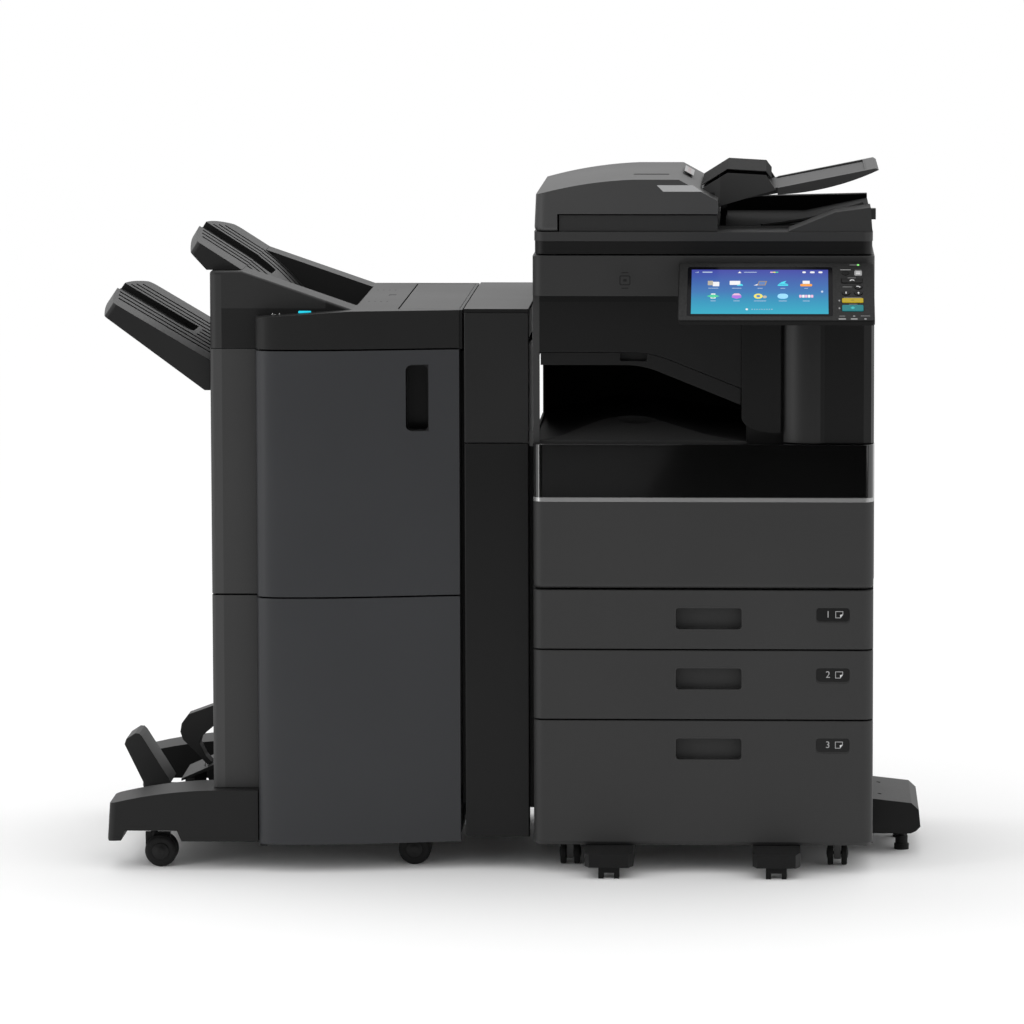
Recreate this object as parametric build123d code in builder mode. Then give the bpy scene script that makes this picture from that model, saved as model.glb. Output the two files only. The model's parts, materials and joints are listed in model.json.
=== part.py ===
from build123d import *

import os
from math import atan2, cos, radians, sin, tan

# Photocopier with a three-drawer paper supply, a document feeder, a punch unit and a
# console finisher. Millimetres. +X is to the right of someone standing at the control
# panel, +Y goes into the machine and +Z is up. The origin is the middle of the floor area.

os.makedirs("parts", exist_ok=True)

# ---------------------------------------------------------------- driving dimensions

# Widths, from left to right.
foot_reach = 183.0  # stand foot, beyond the finisher
tray_reach = 200.0  # lower tray, beyond the finisher
finisher_w = 435.0
punch_gap = 3.0
punch_w = 111.0
dock_gap = 8.0
copier_w = 585.0
side_reach = 87.0  # side stabiliser, beyond the copier

# Depths.
copier_d = 586.0
finisher_d = 564.0  # behind the finisher's side panel plane
finisher_set = 36.0  # that plane, behind the drawer fronts
rear_reach = 55.0  # rear foot of the stand, behind the finisher

# Heights of the seams between the copier's modules.
floor_gap = 50.0
lower_drawer_h = 219.0
middle_drawer_h = 122.0
upper_drawer_h = 104.5
cover_h = 151.5
trim_h = 7.0
gloss_h = 92.0
cavity_h = 156.5  # gloss panel to the bridge unit's lower seam
bridge_h = 98.5
scanner_h = 69.0
lid_gap = 3.0
pad_h = 22.0
rim_h = 15.5
feeder_h = 89.5

# Skins, seams and clearances.
skin = 4.0
wall = 8.0
seam = 3.0
slide_gap = 0.3  # between a sliding piece and its runner
swing_gap = 2.0  # beside a swinging cover
panel_t = 28.0  # drawer fronts and front cover
corner_r = 18.0  # vertical corners of the front
pin_r = 3.0
pin_gap = 0.3

# Control panel.
tilt = 30.0  # above the horizontal, at rest
panel_w = 332.0
panel_len = 180.0
panel_thick = 24.0
panel_lip = 9.0  # thickness at its front edge
panel_corner = 6.0
panel_round = 3.0  # edges of its face
panel_stand = 13.5  # pivot, in front of the scanner
panel_inset = 2.0  # right end, inside the copier's side

# ---------------------------------------------------------------- derived places

total_w = tray_reach + finisher_w + punch_gap + punch_w + dock_gap + copier_w + side_reach
left_end = -total_w / 2
fin_l = left_end + tray_reach
foot_tip = fin_l - foot_reach
fin_r = fin_l + finisher_w
punch_l = fin_r + punch_gap
punch_r = punch_l + punch_w
cop_l = punch_r + dock_gap
cop_r = cop_l + copier_w

half_t = panel_thick / 2
lean_cos, lean_sin = cos(radians(tilt)), sin(radians(tilt))
panel_reach = (
    panel_stand
    + (panel_len - half_t) * lean_cos
    + half_t * lean_sin
    - panel_round * (lean_cos + lean_sin - 1)
)
total_d = panel_reach + max(copier_d, finisher_set + finisher_d + rear_reach)
front = -total_d / 2 + panel_reach
back = front + copier_d
side_plane = front + finisher_set
fin_back = side_plane + finisher_d

z_ped = floor_gap
z_mid = z_ped + lower_drawer_h
z_up = z_mid + middle_drawer_h
z_cover = z_up + upper_drawer_h
z_trim = z_cover + cover_h
z_gloss = z_trim + trim_h
z_tray = z_gloss + gloss_h
z_bridge = z_tray + cavity_h
z_scan = z_bridge + bridge_h
z_glass = z_scan + scanner_h
z_lid = z_glass + lid_gap
z_rim = z_lid + pad_h
z_feed = z_rim + rim_h
z_top = z_feed + feeder_h


# ---------------------------------------------------------------- helpers


def at_front(y):
    """A drawing plane that faces forward and stands at the given y."""
    return Plane.XZ.offset(-y)


def block(x, y, z, mode=Mode.ADD):
    """A block that fills the given x, y and z ranges, in the part being built."""
    with Locations(((x[0] + x[1]) / 2, (y[0] + y[1]) / 2, (z[0] + z[1]) / 2)):
        Box(x[1] - x[0], y[1] - y[0], z[1] - z[0], mode=mode)


def prism(points, y, mode=Mode.ADD):
    """An outline of (x, z) points, carried from y[0] back to y[1]."""
    with BuildSketch(at_front(y[0])) as outline:
        with BuildLine():
            Polyline(*points, close=True)
        make_face()
    extrude(outline.sketch, amount=-(y[1] - y[0]), mode=mode)


def rod(x, y, z, radius, axis, mode=Mode.ADD):
    """A round bar along the axis "x", "y" or "z", where that range gives its two ends."""
    ranges = {"x": x, "y": y, "z": z}
    low, high = ranges[axis]
    middle = {name: value for name, value in ranges.items() if name != axis}
    middle[axis] = (low + high) / 2
    turn = {"x": (0, 90, 0), "y": (90, 0, 0), "z": (0, 0, 0)}[axis]
    with Locations((middle["x"], middle["y"], middle["z"])):
        Cylinder(radius, high - low, rotation=turn, mode=mode)


def front_slab(x, y, z, corner):
    """An upright panel whose two front corners are rounded in plan."""
    with BuildSketch(Plane.XY.offset(z[0])) as plan:
        with Locations(((x[0] + x[1]) / 2, (y[0] + y[1]) / 2)):
            Rectangle(x[1] - x[0], y[1] - y[0])
        fillet(plan.vertices().group_by(Axis.Y)[0], corner)
    extrude(plan.sketch, amount=z[1] - z[0])


def front_pocket(x, z, y, depth, corner):
    """A pocket with rounded corners, cut straight back from the face at y."""
    with BuildSketch(at_front(y)) as mouth:
        with Locations(((x[0] + x[1]) / 2, (z[0] + z[1]) / 2)):
            RectangleRounded(x[1] - x[0], z[1] - z[0], corner)
    extrude(mouth.sketch, amount=-depth, mode=Mode.SUBTRACT)


def save(piece, name):
    """Labels a finished piece and writes it under that name."""
    piece.part.label = name
    export_step(piece.part, f"parts/{name}.step")


# ---------------------------------------------------------------- paper supply

tray_clear = 14.0  # drawer box to frame wall, where the runners are
tray_under = 14.0  # drawer box above its front's lower edge
tray_wall = 3.0
tray_len = 500.0
runner_h = 4.0
runner_w = 22.0
frame_front = front + panel_t + swing_gap
frame_back = back - 14.0
handle_w, handle_h, handle_depth = 114.5, 38.0, 22.0
handle_off = 9.5  # handle centre, right of the copier's middle
handle_drop = 33.0  # top edge of a front to the top of its handle
badge_w, badge_h, badge_depth = 58.0, 26.0, 1.2
badge_off = 223.0  # badge centre, right of the copier's middle
cop_mid = (cop_l + cop_r) / 2
ped_floor = 6.0
shelf = 6.0

inner_l, inner_r = cop_l + skin + wall, cop_r - skin - wall
tray_l, tray_r = inner_l + tray_clear, inner_r - tray_clear


def drawer(name, z0, z1, chamfer_h):
    """A drawer: the front that is seen, and the box behind it with a lift plate inside."""
    low = z0 if chamfer_h else z0 + seam / 2
    high = z1 - seam / 2
    top = high - (handle_drop - seam)
    with BuildPart() as piece:
        front_slab((cop_l, cop_r), (front, front + panel_t), (low, high), corner_r)
        if chamfer_h:
            chamfer(piece.edges().group_by(Axis.Z)[0].sort_by(Axis.Y)[0], chamfer_h)
        fillet(piece.edges().group_by(Axis.Z)[-1].sort_by(Axis.Y)[0], 1.5)
        grip = cop_mid + handle_off
        front_pocket(
            (grip - handle_w / 2, grip + handle_w / 2), (top - handle_h, top), front, handle_depth, 8
        )
        mark = cop_mid + badge_off
        front_pocket(
            (mark - badge_w / 2, mark + badge_w / 2), (top - badge_h, top), front, badge_depth, 6
        )
        # The open-topped box, its lift plate and the pads that carry the plate.
        tray_y = (front + panel_t, front + panel_t + tray_len)
        tray_z = (z0 + tray_under, z1 - tray_under)
        block((tray_l, tray_r), tray_y, tray_z)
        inside_y = (tray_y[0] + tray_wall, tray_y[1] - tray_wall)
        inside = ((tray_l + tray_wall, tray_r - tray_wall), inside_y)
        block(*inside, (tray_z[0] + tray_wall, tray_z[1] + 1), mode=Mode.SUBTRACT)
        plate_z = tray_z[0] + tray_wall + 8
        block((tray_l + 60, tray_r - 60), (tray_y[0] + 60, tray_y[1] - 90), (plate_z, plate_z + 2))
        block(
            (tray_l + 120, tray_r - 120),
            (tray_y[0] + 80, tray_y[0] + 110),
            (tray_z[0] + tray_wall, plate_z),
        )
        block(
            (tray_l + 120, tray_r - 120),
            (tray_y[1] - 140, tray_y[1] - 110),
            (tray_z[0] + tray_wall, plate_z),
        )
    save(piece, name)


def runners(z0):
    """The two ledges that a drawer box slides on, on the walls of its bay."""
    top = z0 + tray_under - slide_gap
    for x in ((inner_l, inner_l + runner_w), (inner_r - runner_w, inner_r)):
        block(x, (frame_front + 10, frame_back - 20), (top - runner_h, top))


drawer("upper_drawer", z_up, z_cover, 0)
drawer("middle_drawer", z_mid, z_up, 0)
drawer("lower_drawer", z_ped, z_mid, 6.0)

with BuildPart() as pedestal:
    block((cop_l, cop_r), (frame_front, back), (z_ped, z_mid))
    block(
        (inner_l, inner_r),
        (frame_front - 1, frame_back - wall),
        (z_ped + ped_floor, z_mid - shelf),
        mode=Mode.SUBTRACT,
    )
    runners(z_ped)
save(pedestal, "pedestal")

# Stabilisers: a block on each side in front, and a larger one on the right side. Each
# stands on a levelling glide, so the parked copier does not roll.
stab_l = (cop_l + 89.0, cop_l + 173.0)
stab_r = (cop_l + 378.0, cop_l + 460.0)
stab_front = 58.0  # in front of the drawer fronts
stab_z = (21.0, 49.5)
stab_dip = 6.0  # fall of the top towards the front
glide_r, glide_h = 13.0, 10.0
side_foot_y = (front + 190.0, front + 430.0)

with BuildPart() as stabilisers:
    for x0, x1 in (stab_l, stab_r):
        with BuildSketch(Plane.XY.offset(stab_z[0])):
            with BuildLine():
                Polyline(
                    (x0, front + 140),
                    (x0, front - stab_front + 18),
                    (x0 + 8, front - stab_front),
                    (x1 - 8, front - stab_front),
                    (x1, front - stab_front + 18),
                    (x1, front + 140),
                    close=True,
                )
            make_face()
        extrude(amount=stab_z[1] - stab_z[0])
        block((x0, x1), (front + panel_t + 8, front + 140), (stab_z[1], z_ped))
        with BuildSketch(Plane.YZ.offset(x0 - 1)):
            with BuildLine():
                Polyline(
                    (front - stab_front - 1, stab_z[1] - stab_dip),
                    (front - 4, stab_z[1]),
                    (front - 4, stab_z[1] + 1),
                    (front - stab_front - 1, stab_z[1] + 1),
                    close=True,
                )
            make_face()
        extrude(amount=x1 - x0 + 2, mode=Mode.SUBTRACT)
    prism(
        [
            (cop_r, 38),
            (cop_r, 100),
            (cop_r + side_reach - 16, 92),
            (cop_r + side_reach - 3, 80),
            (cop_r + side_reach, 50),
            (cop_r + side_reach - 8, 42),
            (cop_r + side_reach - 17, 38),
        ],
        side_foot_y,
    )
    for y in (side_foot_y[0] + 60, side_foot_y[1] - 60):
        rod(cop_r + 16, y, (60, 110), 4, "z", mode=Mode.SUBTRACT)
save(stabilisers, "stabilisers")

glide_spots = [
    ((stab_l[0] + stab_l[1]) / 2, front - stab_front + 24, stab_z[0]),
    ((stab_r[0] + stab_r[1]) / 2, front - stab_front + 24, stab_z[0]),
    (cop_r + side_reach - 32, side_foot_y[0] + 60, 41.0),
    (cop_r + side_reach - 32, side_foot_y[1] - 60, 41.0),
]
with BuildPart() as stabiliser_glides:
    for x, y, z in glide_spots[:2]:
        # A forked leveller: a bar with a pad at each end.
        block((x - 18, x + 18), (y - 12, y + 12), (glide_h, z))
        block((x - 18, x - 9), (y - 12, y + 12), (0, glide_h))
        block((x + 9, x + 18), (y - 12, y + 12), (0, glide_h))
    for x, y, z in glide_spots[2:]:
        rod(x, y, (0, glide_h), glide_r, "z")
        rod(x, y, (glide_h, 38), 6, "z")
        rod(x, y, (glide_h, glide_h + 14), 11, "z")
save(stabiliser_glides, "stabiliser_glides")

# ---------------------------------------------------------------- copier body

bay_gap = shelf / 2
column_l = cop_l + 366.0  # left side of the column beside the output cavity
column_front = front + 40.0
hinge_in = 8.0  # hinge axis of the front cover, behind its face and above its lower edge
cover_low = z_cover + seam / 2
hinge_spots = (cop_l + 70.0, cop_r - 70.0)
lug_w, lug_r, lug_arm = 12.0, 4.0, 6.0
lug_pin_r, lug_pin_len, lug_clear = 2.0, 5.0, 0.6
rear_wall_y = (frame_back - 12, frame_back)

with BuildPart() as main_frame:
    block((cop_l + skin, cop_r - skin), (frame_front, frame_back), (z_mid, z_tray - skin))
    block((column_l, cop_r - skin), (column_front, frame_back), (z_tray - skin, z_scan))
    block((cop_l + skin, column_l), rear_wall_y, (z_tray - skin, z_scan))
    bay_y = (frame_front - 1, frame_back - wall)
    for low, high in (
        (z_mid + shelf, z_up - bay_gap),
        (z_up + bay_gap, z_cover - bay_gap),
        (z_cover + bay_gap, z_tray - skin - shelf),
    ):
        block((inner_l, inner_r), bay_y, (low, high), mode=Mode.SUBTRACT)
    # The paper path rises from the engine bay through the column.
    block(
        (column_l + wall, inner_r),
        (column_front + wall, frame_back - wall),
        (z_tray - skin - shelf - 1, z_scan - shelf),
        mode=Mode.SUBTRACT,
    )
    runners(z_mid)
    runners(z_up)
    # Hinge lugs and pins of the front cover.
    lug_z = cover_low + hinge_in
    for x in hinge_spots:
        lug = (x - lug_w / 2, x + lug_w / 2)
        pin = (lug[0] - lug_pin_len, lug[1] + lug_pin_len)
        block(
            lug, (front + hinge_in, frame_front + 1), (lug_z - lug_arm / 2, lug_z + lug_arm / 2)
        )
        rod(lug, front + hinge_in, lug_z, lug_r, "x")
        rod(pin, front + hinge_in, lug_z, lug_pin_r, "x")
save(main_frame, "main_frame")

cover_side_y = (frame_front, back - 10)
window_y = (front + 37.0, front + 430.0)
window_z = (z_tray + 11.0, z_bridge - 22.0)
post_w = 11.0
post_y = (front + 25.0, front + 37.0)
bypass_y = (front + 120.0, front + 460.0)
bypass_z = (z_cover + 5.0, z_cover + 240.0)
bypass_t = 6.0
bypass_back = 0.3  # tray to the frame behind it
bypass_pin = (cop_r - skin + bypass_back + bypass_t / 2, bypass_z[0])
bypass_pin_r = 1.5
bypass_seam = 1.0
with BuildPart() as side_covers:
    block((cop_l, cop_l + skin), cover_side_y, (z_mid, z_scan))
    block((cop_l - 1, cop_l + skin + 1), window_y, window_z, mode=Mode.SUBTRACT)
    block((cop_l, cop_l + post_w), post_y, (z_tray, z_scan))
    block((cop_r - skin, cop_r), cover_side_y, (z_mid, z_tray))
    block((cop_r - skin, cop_r), (column_front + 0.5, cover_side_y[1]), (z_tray, z_scan))
    # The bypass tray's window, and the pins at its lower corners.
    block(
        (cop_r - skin - 1, cop_r + 1),
        (bypass_y[0] - bypass_seam, bypass_y[1] + bypass_seam),
        (bypass_z[0] - bypass_t / 2 - bypass_seam, bypass_z[1] + bypass_seam),
        mode=Mode.SUBTRACT,
    )
    for y in ((bypass_y[0] - 4, bypass_y[0] + 6), (bypass_y[1] - 6, bypass_y[1] + 4)):
        rod(bypass_pin[0], y, bypass_pin[1], bypass_pin_r, "y")
save(side_covers, "side_covers")

vent_pitch, vent_h, vent_count = 12.0, 5.0, 12
inlet_w, inlet_h = 28.0, 22.0
with BuildPart() as rear_cover:
    block((cop_l, cop_r), (back - 10, back), (z_mid, z_scan))
    block(
        (cop_l + skin + 2, cop_r - skin - 2),
        (back - 11, back - skin),
        (z_mid + skin, z_scan - skin),
        mode=Mode.SUBTRACT,
    )
    for bank_x in (cop_l + 60, cop_r - 200):
        for i in range(vent_count):
            low = z_scan - 190 + i * vent_pitch
            slot = ((bank_x, bank_x + 140), (back - skin - 1, back + 1), (low, low + vent_h))
            block(*slot, mode=Mode.SUBTRACT)
    block(
        (cop_l + 60, cop_l + 60 + inlet_w),
        (back - skin - 1, back + 1),
        (z_mid + 40, z_mid + 40 + inlet_h),
        mode=Mode.SUBTRACT,
    )
    # The power inlet: an open box behind its cut-out, with three blades.
    block(
        (cop_l + 58, cop_l + 62 + inlet_w),
        (back - 13.5, back - skin),
        (z_mid + 38, z_mid + 42 + inlet_h),
    )
    block(
        (cop_l + 60, cop_l + 60 + inlet_w),
        (back - 12, back - skin + 1),
        (z_mid + 40, z_mid + 40 + inlet_h),
        mode=Mode.SUBTRACT,
    )
    for i in range(3):
        blade = cop_l + 60 + 6 + i * 7
        block((blade, blade + 2), (back - 12.5, back - 5), (z_mid + 48, z_mid + 53))
save(rear_cover, "rear_cover")

# Front cover: a textured lower panel, a bright strip and a gloss panel on one hinged door.
with BuildPart() as front_cover:
    front_slab((cop_l, cop_r), (front, front + panel_t), (cover_low, z_trim), corner_r)
    fillet(front_cover.edges().group_by(Axis.Z)[0].sort_by(Axis.Y)[0], hinge_in - 0.5)
    block((cop_l + 24, cop_r - 24), (front + 12, front + panel_t), (z_trim, z_tray - 6))
    block(
        (cop_l + 30, cop_r - 30),
        (front + 20, front + panel_t + 1),
        (cover_low + 30, z_tray - 12),
        mode=Mode.SUBTRACT,
    )
    for x in hinge_spots:
        half = lug_w / 2 + lug_clear
        rim = lug_r + lug_clear
        block(
            (x - half, x + half),
            (front + hinge_in - rim, front + panel_t + 1),
            (cover_low - 1, lug_z + rim),
            mode=Mode.SUBTRACT,
        )
        reach = lug_w / 2 + lug_pin_len + lug_clear
        rod(
            (x - reach, x + reach), front + hinge_in, lug_z, lug_pin_r + pin_gap,
            "x", mode=Mode.SUBTRACT,
        )
save(front_cover, "front_cover")

with BuildPart() as front_trim:
    front_slab((cop_l, cop_r), (front, front + panel_t), (z_trim, z_gloss), corner_r)
    block(
        (cop_l + 23.8, cop_r - 23.8),
        (front + 11.8, front + panel_t + 1),
        (z_trim - 1, z_gloss + 1),
        mode=Mode.SUBTRACT,
    )
save(front_trim, "front_trim")

with BuildPart() as gloss_panel:
    front_slab((cop_l, cop_r), (front, front + panel_t), (z_gloss, z_tray), corner_r)
    block(
        (cop_l + 23.8, cop_r - 23.8),
        (front + 11.8, front + panel_t + 1),
        (z_gloss - 1, z_tray - 5.8),
        mode=Mode.SUBTRACT,
    )
    fillet(gloss_panel.edges().group_by(Axis.Z)[-1].sort_by(Axis.Y)[0], 1.5)
save(gloss_panel, "gloss_panel")

# Upper front covers, beside the output cavity: the pillar and the right cover.
pillar_x = (cop_l + 358.0, cop_l + 425.0)
right_cover_l = cop_l + 430.0
pillar_low = z_tray + 18.0
cover_top = z_scan - 1.0
with BuildPart() as upper_front_covers:
    with BuildSketch(Plane.XY.offset(z_tray + 1.5)):
        with BuildLine():
            Polyline(
                (cop_r, column_front),
                (cop_r, front + 8 + corner_r),
                (cop_r - 5, front + 13),
                (cop_r - corner_r, front + 8),
                (right_cover_l + 70, front + 8),
            )
            ThreePointArc(
                (right_cover_l + 70, front + 8),
                (right_cover_l + 26, front + 11),
                (right_cover_l, front + 28),
            )
            Polyline(
                (right_cover_l, front + 28), (right_cover_l, column_front), (cop_r, column_front)
            )
        make_face()
    extrude(amount=cover_top - z_tray - 1.5)
    with BuildSketch(at_front(front + 22)):
        with BuildLine():
            Polyline(
                (pillar_x[1] - 6, pillar_low),
                (pillar_x[1], pillar_low),
                (pillar_x[1], cover_top),
                (pillar_x[0], cover_top),
                (pillar_x[0], pillar_low + 26),
            )
            Bezier(
                (pillar_x[0], pillar_low + 26),
                (pillar_x[0] + 1, pillar_low + 13),
                (pillar_x[0] + 22, pillar_low),
                (pillar_x[1] - 6, pillar_low),
            )
        make_face()
    extrude(amount=-(column_front - front - 22))
save(upper_front_covers, "upper_front_covers")

# Inner output tray: a shallow hump across the cavity, with a finger dip.
tray_x = (cop_l + skin + 0.3, column_l - 0.3)
tray_y = (front + panel_t + swing_gap, rear_wall_y[0] - 1)
hump_z = z_tray + 30.0
with BuildPart() as exit_tray:
    with BuildSketch(at_front(tray_y[0])):
        with BuildLine():
            Polyline(
                (tray_x[0], z_tray + 4),
                (tray_x[0], z_tray - skin),
                (tray_x[1], z_tray - skin),
                (tray_x[1], z_tray + 2),
            )
            Bezier(
                (tray_x[1], z_tray + 2),
                (tray_x[0] + 260, z_tray + 10),
                (tray_x[0] + 225, hump_z),
                (tray_x[0] + 150, hump_z),
            )
            Bezier(
                (tray_x[0] + 150, hump_z),
                (tray_x[0] + 90, hump_z),
                (tray_x[0] + 60, z_tray + 5),
                (tray_x[0], z_tray + 4),
            )
        make_face()
    extrude(amount=-(tray_y[1] - tray_y[0]))
    with Locations((tray_x[0] + 172, tray_y[0] + 118, hump_z + 86)):
        Sphere(96, mode=Mode.SUBTRACT)
    # Front and back slopes of the hump.
    with BuildSketch(Plane.YZ.offset(tray_x[0] - 1)):
        with BuildLine():
            Polyline(
                (tray_y[0] - 1, z_tray + 3),
                (tray_y[0] + 150, hump_z + 2),
                (tray_y[0] + 150, hump_z + 20),
                (tray_y[0] - 1, hump_z + 20),
                close=True,
            )
        make_face()
    extrude(amount=tray_x[1] - tray_x[0] + 2, mode=Mode.SUBTRACT)
    block(
        (tray_x[0] - 1, cop_l + post_w + slide_gap),
        (tray_y[0] - 1, post_y[1] + slide_gap),
        (z_tray - skin - 1, hump_z),
        mode=Mode.SUBTRACT,
    )
save(exit_tray, "exit_tray")

# Bridge unit: carries paper over the cavity towards the finisher. Its lower guide
# follows a curve and swings down.
bridge_y = (front + 25.0, rear_wall_y[0])
bridge_l = cop_l + post_w
guide_gap = 1.0
guide_y = (front + 27.0, rear_wall_y[0] - 45)
bridge_r = pillar_x[0] - 0.3
upper_bend, upper_end = (cop_l + 202.0, z_bridge), (bridge_r, z_bridge - 62.0)
lower_bend, lower_end = (cop_l + 188.0, z_bridge - 22.5), (bridge_r - 1, z_bridge - 91.0)
with BuildPart() as bridge_unit:
    with BuildSketch(at_front(bridge_y[0])):
        with BuildLine():
            FilletPolyline((bridge_l, z_bridge), upper_bend, upper_end, radius=170)
            Polyline(upper_end, (bridge_r, z_scan), (bridge_l, z_scan), (bridge_l, z_bridge))
        make_face()
    extrude(amount=-(bridge_y[1] - bridge_y[0]))
    block(
        (bridge_l + 6, pillar_x[0] - 8),
        (bridge_y[0] + 6, bridge_y[1] - 6),
        (z_bridge + 8, z_scan - 6),
        mode=Mode.SUBTRACT,
    )
    block((cop_l + skin, bridge_l), (front + 37.5, bridge_y[1]), (z_bridge, z_scan))
    # Ears for the guide's hinge pin.
    for x in (bridge_l + 40, pillar_x[0] - 190):
        block((x, x + 8), (guide_y[1] + 2, guide_y[1] + 24), (z_bridge - 14, z_bridge + 2))
        rod((x + 8, x + 16), guide_y[1] + 13, z_bridge - 7, pin_r, "x")
save(bridge_unit, "bridge_unit")

latch_x, latch_z = (cop_l + 149.0, cop_l + 196.0), (z_bridge - 16.0, z_bridge - 1.0)
with BuildPart() as bridge_guide:
    with BuildSketch(at_front(guide_y[0])):
        with BuildLine():
            low_line = FilletPolyline(
                (bridge_l + 2, z_bridge - 22.5), lower_bend, lower_end, radius=150
            )
            high_line = FilletPolyline(
                (bridge_l + 2, z_bridge - guide_gap),
                (upper_bend[0], z_bridge - guide_gap),
                (lower_end[0], upper_end[1] - guide_gap),
                radius=170,
            )
            Line(low_line @ 0, high_line @ 0)
            Line(low_line @ 1, high_line @ 1)
        make_face()
    extrude(amount=-(guide_y[1] - guide_y[0]))
    front_pocket(latch_x, latch_z, guide_y[0], 10, 4)
    for x in (bridge_l + 40, pillar_x[0] - 190):
        block(
            (x + 9, x + 15.5), (guide_y[1] - 2, guide_y[1] + 13), (z_bridge - 13, z_bridge - 1)
        )
        rod((x + 9, x + 15.5), guide_y[1] + 13, z_bridge - 7, 6, "x")
        rod((x + 8.5, x + 16.5), guide_y[1] + 13, z_bridge - 7, pin_r + pin_gap, "x", Mode.SUBTRACT)
save(bridge_guide, "bridge_guide")

# Toner cartridges, each lying on a cradle in the engine bay.
toner_r, toner_pitch, toner_len = 34.0, 118.0, 400.0
toner_z = z_cover + bay_gap + 60.0
with BuildPart() as toner_cartridges:
    for i in range(4):
        x = inner_l + 100 + i * toner_pitch
        rod(x, (frame_front + 20, frame_front + 20 + toner_len), toner_z, toner_r, "y")
        rod(x, (frame_front + 6, frame_front + 20), toner_z, toner_r - 12, "y")
        for y in (frame_front + 60, frame_front + 340):
            block((x - 14, x + 14), (y, y + 30), (z_cover + bay_gap, toner_z - toner_r + 6))
save(toner_cartridges, "toner_cartridges")

# Bypass tray: folds down from the right side.
with BuildPart() as bypass_tray:
    slab_x = (bypass_pin[0] - bypass_t / 2, bypass_pin[0] + bypass_t / 2)
    block(slab_x, bypass_y, bypass_z)
    chamfer(bypass_tray.edges().filter_by(Axis.Y).group_by(Axis.X)[-1].sort_by(Axis.Z)[-1], 1.5)
    rod(bypass_pin[0], bypass_y, bypass_pin[1], bypass_t / 2, "y")
    block(
        (slab_x[1] - 2, slab_x[1] + 1),
        (bypass_y[0] + 130, bypass_y[1] - 130),
        (bypass_z[1] - 24, bypass_z[1] - 8),
        mode=Mode.SUBTRACT,
    )
    for y in ((bypass_y[0] - 1, bypass_y[0] + 7), (bypass_y[1] - 7, bypass_y[1] + 1)):
        rod(bypass_pin[0], y, bypass_pin[1], bypass_pin_r + pin_gap, "y", mode=Mode.SUBTRACT)
save(bypass_tray, "bypass_tray")

# ---------------------------------------------------------------- scanner

glass_x = (cop_l + 70.0, cop_l + 540.0)
glass_y = (front + 70.0, front + 400.0)
glass_t = 4.0
rebate = 8.0
scan_floor = 8.0
pivot_y = front - panel_stand
pivot_z = z_glass - 23.0
panel_r = cop_r - panel_inset
panel_l = panel_r - panel_w
knuckle_r, knuckle_w = 7.5, 36.0
knuckle_x = (panel_l + 62.0, panel_l + 212.0)
lid_y = (front + 2.0, front + 530.0)
lid_pin_y, lid_pin_z = back - 30.0, z_glass + 15.0
lid_arm_x = (cop_l + 90.0, cop_l + 465.0)
lid_arm_w = 30.0
carriage_w = 60.0

with BuildPart() as scanner_housing:
    front_slab((cop_l, cop_r), (front, back), (z_scan, z_glass), corner_r)
    fillet(scanner_housing.edges().group_by(Axis.Z)[-1].sort_by(Axis.Y)[0], 2)
    block(
        (cop_l + 10, cop_r - 10),
        (front + 20, back - 12),
        (z_scan + scan_floor, z_glass - 6),
        mode=Mode.SUBTRACT,
    )
    block(
        (glass_x[0] + rebate, glass_x[1] - rebate),
        (glass_y[0] + rebate, glass_y[1] - rebate),
        (z_glass - 7, z_glass + 1),
        mode=Mode.SUBTRACT,
    )
    block(glass_x, glass_y, (z_glass - glass_t, z_glass + 1), mode=Mode.SUBTRACT)
    for y in (front + 60, back - 90):
        block((cop_l + 10, cop_r - 10), (y, y + 12), (z_scan + scan_floor, z_scan + 18))
    # Knuckles that the control panel tilts on.
    for x in knuckle_x:
        block(
            (x - knuckle_w / 2, x + knuckle_w / 2), (pivot_y, front + 1), (pivot_z - 5, pivot_z + 5)
        )
        rod((x - knuckle_w / 2, x + knuckle_w / 2), pivot_y, pivot_z, knuckle_r, "x")
        rod((x - knuckle_w / 2 - 6, x + knuckle_w / 2 + 6), pivot_y, pivot_z, pin_r, "x")
    # Ears and pins for the lid.
    for x in lid_arm_x:
        for low in (x - 12.5, x + lid_arm_w + 0.5):
            block((low, low + 12), (lid_pin_y - 12, lid_pin_y + 12), (z_glass, lid_pin_z + 10))
        rod((x - 1, x + lid_arm_w + 1), lid_pin_y, lid_pin_z, 4, "x")
save(scanner_housing, "scanner_housing")

with BuildPart() as platen_glass:
    block(
        (glass_x[0] + 0.2, glass_x[1] - 0.2),
        (glass_y[0] + 0.2, glass_y[1] - 0.2),
        (z_glass - glass_t, z_glass),
    )
save(platen_glass, "platen_glass")

with BuildPart() as scan_carriage:
    rail_top = z_scan + 18
    bar_x = (cop_l + 24, cop_l + 24 + carriage_w)
    block(bar_x, (front + 50, back - 60), (rail_top + slide_gap, z_glass - 14))
    block(
        (bar_x[0] + 22, bar_x[1] - 22), (front + 70, front + 420), (z_glass - 24, z_glass - 13),
        mode=Mode.SUBTRACT,
    )
    fillet(scan_carriage.edges().filter_by(Axis.Y).group_by(Axis.Z)[-1], 2)
save(scan_carriage, "scan_carriage")

# ---------------------------------------------------------------- control panel

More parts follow.
